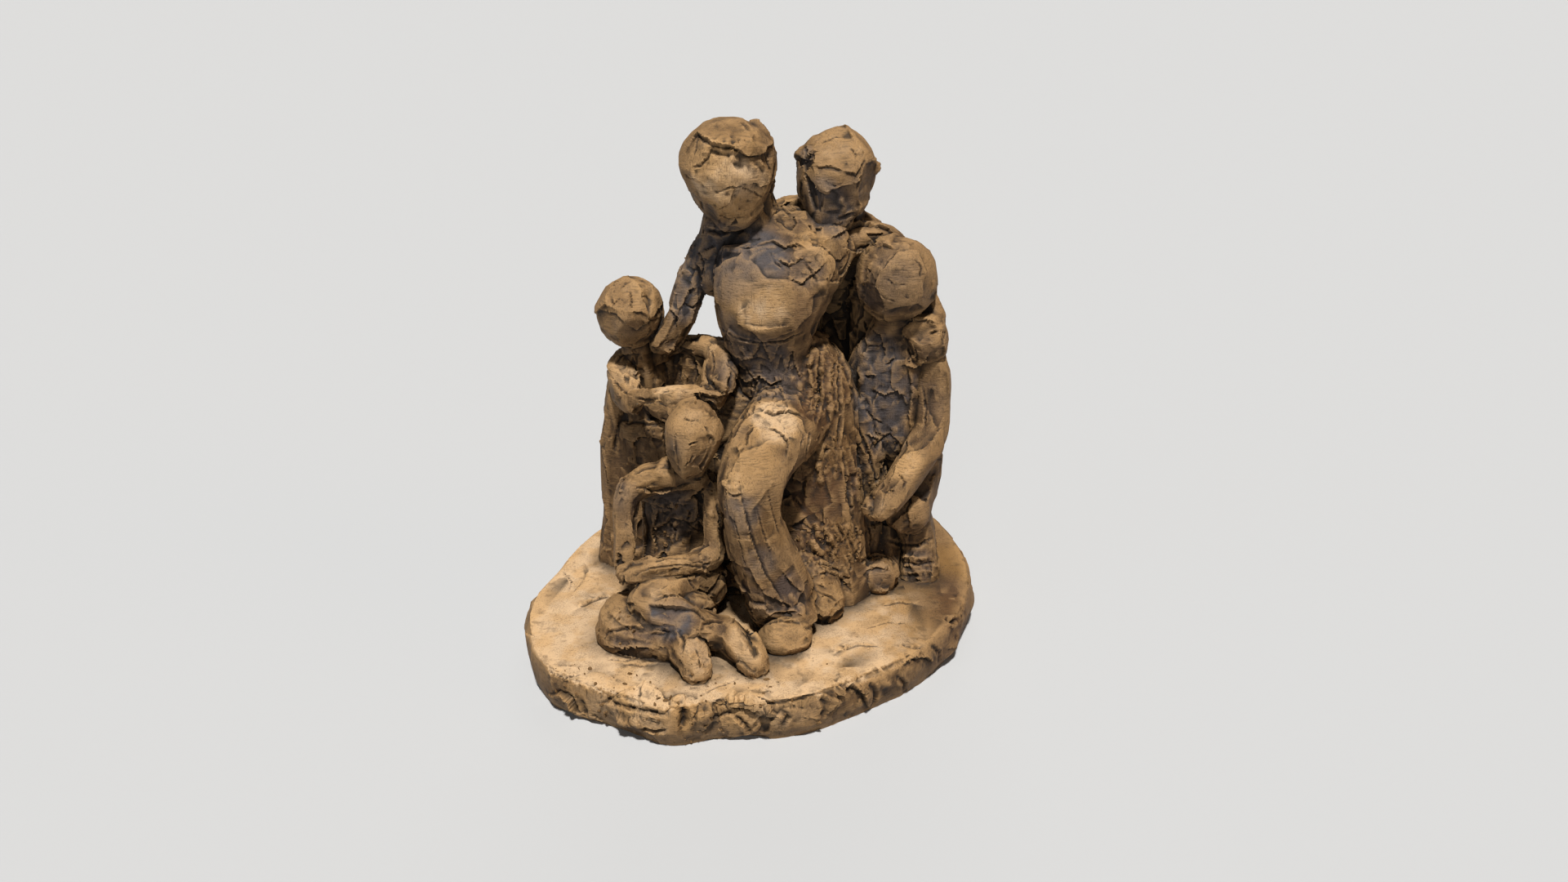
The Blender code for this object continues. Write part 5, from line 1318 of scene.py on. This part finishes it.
def clay_material(name, painted):
    """Brown modelling clay, dry ochre where it is torn, with painted light and shade.

    Grey-violet and deep brown patches carry painted shade, pale patches and raised edges painted highlight,
    and recesses, creases, cracks and pits painted shade.
    """
    material = bpy.data.materials.new(name)
    material.use_nodes = True
    tree = material.node_tree
    shader = tree.nodes["Principled BSDF"]
    start = Maths(tree, None)
    place = start.node("ShaderNodeTexCoord", {}, {}, "Object")

    def noise(scale, detail, roughness=0.6, output="Fac", at=None):
        return start.node("ShaderNodeTexNoise", {}, {
            "Vector": at or place, "Scale": scale, "Detail": detail, "Roughness": roughness,
        }, output)

    def streaks(stretch, scale):
        """Fine lines that a tool or a finger drew."""
        return noise(scale, 3.0, 0.55, at=start.vector_maths("MULTIPLY", place, stretch))

    def cells(feature, at, scale):
        settings = {"feature": feature}
        return start.node("ShaderNodeTexVoronoi", settings, {"Vector": at, "Scale": scale}, "Distance")

    def attribute(label):
        return start.node("ShaderNodeAttribute", {"attribute_name": label}, {}, "Fac")

    def mixed(share, first, second):
        """A blend of two colours."""
        node = tree.nodes.new("ShaderNodeMix")
        node.data_type = "RGBA"
        for socket, value in ((node.inputs[0], share), (node.inputs[6], first), (node.inputs[7], second)):
            if isinstance(value, Maths):
                tree.links.new(value.socket, socket)
            else:
                socket.default_value = value
        return Maths(tree, node.outputs[2])

    brown = (0.078, 0.041, 0.016, 1)
    # Pale: the clay's lighter tone, also used as painted highlight
    pale = (0.525, 0.365, 0.218, 1)
    ochre = (0.220, 0.118, 0.033, 1)
    # Tawny: the clay's warm light tone, also the painted highlight on raised edges
    tawny = (0.450, 0.270, 0.115, 1)
    # Grey-violet near black: the clay's grey tone darkened as painted shade
    grey_and_shade = (0.049, 0.047, 0.054, 1)
    # Deep brown: the clay's darker warm tone darkened as painted shade
    deep_brown = (0.066, 0.029, 0.009, 1)
    # Near black: painted shade in recesses, creases, cracks and pits, and darker speckles
    dark = (0.008, 0.005, 0.003, 1)
    broad = noise(45.0, 3.0)
    middle = noise(190.0, 4.0)
    fine = noise(800.0, 5.0, 0.68)
    mask = noise(70.0, 2.0).between(0.42, 0.60)
    down = streaks((1.0, 1.0, 0.10), 1500.0)
    round_about = streaks((0.14, 0.14, 1.0), 1300.0)
    drawn = down * mask + round_about * (1 - mask)
    bent = start.vector_maths("SCALE", noise(130.0, 3.0, output="Color"))
    bent.socket.node.inputs["Scale"].default_value = 12 * MM
    apart = start.vector_maths("ADD", place, bent)
    cracks = cells("DISTANCE_TO_EDGE", apart, 120.0)
    cracks = (1 - cracks.between(0.0, 0.045)) * noise(60.0, 2.0).between(0.52, 0.64)
    pits = cells("F1", place, 420.0)
    pits = (1 - pits.between(0.10, 0.26)) * noise(150.0, 2.0).between(0.58, 0.70)
    colour = mixed(broad.between(0.38, 0.72) * 0.12 + middle.between(0.45, 0.72) * 0.09, brown, tawny)
    if painted:
        cracks = cracks * (attribute("flaky") * 0.8 + 0.2)
        colour = mixed((attribute("dry") * (broad + 0.45)).clamped(), colour, ochre)
        # Deep brown with painted shade: these dabs darken the seat under the bodies and the slab's right
        # side, which face away from the lamps, together with the clay's darker warm tone
        colour = mixed((attribute("deep_brown_and_shade") * (broad + 0.6)).clamped(), colour, deep_brown)
        # Pale with painted highlight: the pale dabs and the slab's top are lightened, paler clay and painted
        # light on lit tops and fronts together
        light = mixed((broad.between(0.40, 0.60) + attribute("pale") - 0.9).clamped(), tawny, pale)
        colour = mixed((attribute("pale") * (broad * 0.5 + 0.6)).clamped() * 0.9, colour, light)
        cracks = cracks * (1 - attribute("pale") * 0.8)
        # Grey-violet with painted shade: the grey dabs darken planes turned from the top light and places
        # under heads and arms, together with the clay's own grey tone
        colour = mixed((attribute("grey_and_shade") * (broad * 0.4 + 0.8)).clamped() * 0.97, colour, grey_and_shade)
        # Painted shade in recesses: the more of the view nearby clay shuts off, the darker
        colour = mixed((attribute("closed") * 2.0 - 0.40).clamped() * 0.94, colour, dark)
        # Painted highlight: raised edges are lightened towards tawny
        colour = mixed(attribute("edge") * 0.38, colour, tawny)
        # Painted shade in creases: hollows are darkened towards near black
        colour = mixed(attribute("hollow") * 0.85, colour, dark)
    else:
        colour = mixed(0.3, colour, ochre)
    # Painted shade in small dips: darker where the fine grain and the drawn lines sink and inside cracks and
    # pits, where the bump below also sinks, along with the clay's speckled tone
    colour = mixed((1 - fine.between(0.30, 0.46)) * 0.5, colour, dark)
    colour = mixed((1 - drawn.between(0.34, 0.52)) * 0.38, colour, dark)
    colour = mixed((cracks + pits * 0.6).clamped() * 0.7, colour, dark)
    tree.links.new(colour.socket, shader.inputs["Base Color"])
    rough = 0.50 + middle * 0.25 + fine * 0.16
    tree.links.new(rough.socket, shader.inputs["Roughness"])
    shader.inputs["Specular IOR Level"].default_value = 0.3
    bumps = fine * 0.95 + drawn * 0.85 + middle * 0.2 - cracks * 0.5 - pits * 0.3
    bump = start.node("ShaderNodeBump", {}, {"Strength": 0.9, "Distance": 0.55 * MM, "Height": bumps})
    tree.links.new(bump.socket, shader.inputs["Normal"])
    return material


def rising(values, band):
    """0 below a band of heights, 1 above it, and smooth in between."""
    return smooth_step((values - band[0]) / (band[1] - band[0]))


def falling(values, band):
    """1 below a band of heights, 0 above it, and smooth in between."""
    return smooth_step((band[1] - values) / (band[1] - band[0]))


def drawn_marks(skin):
    """The planes, ledges, ridges, grooves, pits and scratches, each in its own place."""
    for share, corners in FACETS:
        skin.facet(share, corners)
    figures = (MOTHER_HEAD_MARKS, MAN_HEAD_MARKS, SHOULDER_MARKS, TORSO_MARKS, ARM_MARKS, OLDER_CHILD_MARKS)
    below = (LEANING_CHILD_MARKS, SEATED_CHILD_MARKS, MOTHER_LEG_MARKS, SEAT_MARKS, SLAB_MARKS)
    for marks in figures + below:
        for mark in marks:
            skin.mark(*mark)
    for pit in MOTHER_HEAD_PITS:
        skin.pit(*pit)
    scratches(skin)


def paint(skin):
    """Keeps how worked the clay is and what colour it has, painted light and shade included, as values at its
    points.
    """
    worked = skin.dabbed(WORKED, 3)
    tones = skin.dabbed(TONES, 4)
    height = skin.places[:, 2]
    slab_side = falling(height, SIDE_RIM) * rising(height, SIDE_FOOT)
    slab_top = falling(height, TOP_SKIN) * (1 - slab_side) * (skin.normals[:, 2] > 0.6)
    flaky = np.maximum(worked[:, 0], 0.16 * (1 - slab_top))
    flaky = np.maximum(flaky * (1 - 0.6 * slab_top), 0.45 * slab_side) * (1 - 0.3 * slab_side)
    torn = np.maximum(worked[:, 1], 0.05 * (1 - slab_top))
    torn = np.maximum(torn * (1 - 0.6 * slab_top), 0.35 * slab_side) * (1 - 0.55 * slab_side)
    above_foot = rising(height, BARE_FOOT)
    skin.keep("flaky", flaky * above_foot)
    skin.keep("torn", torn * above_foot)
    skin.keep("crumbly", worked[:, 2] * above_foot)
    # The slab's top is painted pale, its paler clay together with painted light on the top face, fading out
    # towards the right
    tones[:, 3] = np.maximum(tones[:, 3] * 0.68, 1.3 * slab_top * falling(skin.places[:, 0], PALE_FADE))
    # The four painted colours: grey-violet and deep brown carry painted shade, pale carries painted highlight
    for column, label in enumerate(("grey_and_shade", "dry", "deep_brown_and_shade", "pale")):
        skin.keep(label, tones[:, column])


def worked_clay(material):
    """The whole group and its slab as one skin of clay."""
    skin = rough_skin()
    drawn_marks(skin)
    paint(skin)
    skin.write(skin.places + skin.normals * skin.lift[:, None])
    piece = skin.piece
    tree, sizes = relief_tree(material)
    apply_tree(piece, tree, sizes)
    fewer = piece.modifiers.new("fewer", "DECIMATE")
    fewer.ratio = min(1.0, SKIN_TRIANGLES / sum(len(face.vertices) - 2 for face in piece.data.polygons))
    settled(piece)
    outer_shell(piece.data)
    finish_skin(piece)
    return piece


def closed_in(skin):
    """How much of the view from each point is shut off by nearby clay, from 0 to 1."""
    spiral = [(math.acos(1 - 0.85 * (k + 0.5) / VIEWS), k * 2.4) for k in range(VIEWS)]
    across = np.cross(skin.normals, (0.31, 0.87, 0.38))
    across /= np.linalg.norm(across, axis=1)[:, None] + 1e-9
    along = np.cross(skin.normals, across)
    blocked = np.zeros(len(skin.places))
    start = skin.places + skin.normals * 0.4 * MM
    for lean, turn in spiral:
        aims = skin.normals * math.cos(lean)
        aims = aims + (across * math.cos(turn) + along * math.sin(turn)) * math.sin(lean)
        for number, (place, aim) in enumerate(zip(start.tolist(), aims.tolist())):
            distance = skin.tree.ray_cast(place, aim, VIEW_REACH)[3]
            if distance is not None:
                blocked[number] += 1 - 0.5 * distance / VIEW_REACH
    return skin.eased((blocked / VIEWS)[:, None], 2)[:, 0]


def room():
    """The corners of the space that the clay stays within."""
    return np.array(cad_box[0]) + BOX_MARGIN, np.array(cad_box[1]) - BOX_MARGIN


def finish_skin(piece):
    """Keeps the surface inside the CAD box and works out its hollows and edges, for painted shade in the
    hollows and painted highlight on the edges.
    """
    skin = Skin(piece)
    skin.places = np.clip(skin.places, *room())
    skin.places[skin.places[:, 2] < FLAT_FOOT, 2] = 0.0
    skin.measure()
    hollow = np.zeros(len(skin.places))
    edge = np.zeros(len(skin.places))
    for rounds, scale in ((3, 0.35 * MM), (10, 0.9 * MM), (30, 2.2 * MM)):
        soft = skin.eased(skin.places, rounds, 0.8)
        proud = np.einsum("ij,ij->i", skin.places - soft, skin.normals) / scale
        hollow = np.maximum(hollow, np.clip(-proud - 0.15, 0, 1))
        edge = np.maximum(edge, np.clip(proud - 0.2, 0, 1))
    # Painted shade in recesses: the share of view shut off by nearby clay darkens the colour, on the slab's
    # top by less
    slab_top = (skin.places[:, 2] < SLAB_THICKNESS + 3 * MM) & (skin.normals[:, 2] > 0.7)
    skin.keep("closed", closed_in(skin) * np.where(slab_top, 0.55, 1.0))
    # How hollow and how raised each point is, for painted shade in creases and painted highlight on edges
    skin.keep("hollow", hollow)
    skin.keep("edge", edge)


def crumbs(clay, material):
    """The loose crumbs that lie in the torn places of the clay."""
    piece = new_piece("clay_crumbs", clay.data.copy())
    tree, sizes = crumb_tree(material)
    apply_tree(piece, tree, sizes)
    places = np.empty(len(piece.data.vertices) * 3)
    piece.data.vertices.foreach_get("co", places)
    places = np.clip(places.reshape(-1, 3), *room())
    piece.data.vertices.foreach_set("co", places.ravel())
    piece.data.update()
    return piece


def studio():
    """A wide pale floor and soft light."""
    sweep = bmesh.new()
    bmesh.ops.create_grid(sweep, x_segments=2, y_segments=2, size=60)
    mesh = bpy.data.meshes.new("pale_floor")
    sweep.to_mesh(mesh)
    sweep.free()
    for face in mesh.polygons:
        face.use_smooth = True
    floor = new_piece("pale_floor", mesh)
    paper = bpy.data.materials.new("pale paper")
    paper.use_nodes = True
    shader = paper.node_tree.nodes["Principled BSDF"]
    shader.inputs["Base Color"].default_value = (0.385, 0.395, 0.41, 1)
    shader.inputs["Roughness"].default_value = 1.0
    shader.inputs["Specular IOR Level"].default_value = 0.0
    mesh.materials.append(paper)
    # Name, azimuth, elevation and spread in degrees, strength and colour
    lamps = (
        ("key", 4, 69, 5.0, 5.8, (1.0, 0.97, 0.92)),
        ("front fill", -8, 28, 30.0, 0.45, (1.0, 0.97, 0.94)),
        ("cool fill", -60, 15, 40.0, 0.16, (0.60, 0.76, 1.0)),
        ("warm fill", 75, 18, 30.0, 0.25, (1.0, 0.60, 0.28)),
        ("back", 175, 40, 30.0, 0.3, (1.0, 0.95, 0.9)),
    )
    for name, azimuth, elevation, spread, power, colour in lamps:
        lamp = bpy.data.lights.new(name, "SUN")
        lamp.angle = math.radians(spread)
        lamp.energy = power
        lamp.color = colour
        light = bpy.data.objects.new(name, lamp)
        light.rotation_euler = facing(azimuth, elevation).to_track_quat("Z", "Y").to_euler()
        bpy.context.scene.collection.objects.link(light)
    world = bpy.data.worlds.new("studio")
    bpy.context.scene.world = world
    world.use_nodes = True
    background = world.node_tree.nodes["Background"]
    background.inputs["Color"].default_value = (0.80, 0.86, 1.0, 1)
    background.inputs["Strength"].default_value = 0.02
    bpy.context.scene.view_settings.view_transform = "Standard"


viewpoint()
studio()
clay = worked_clay(clay_material("worked clay", True))
loose = crumbs(clay, clay_material("clay crumbs", False))
for polygon in clay.data.polygons:
    polygon.use_smooth = True
clay.data.set_sharp_from_angle(angle=CREASE)
for piece in (clay, loose):
    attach(piece, "root")
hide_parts("family_group")
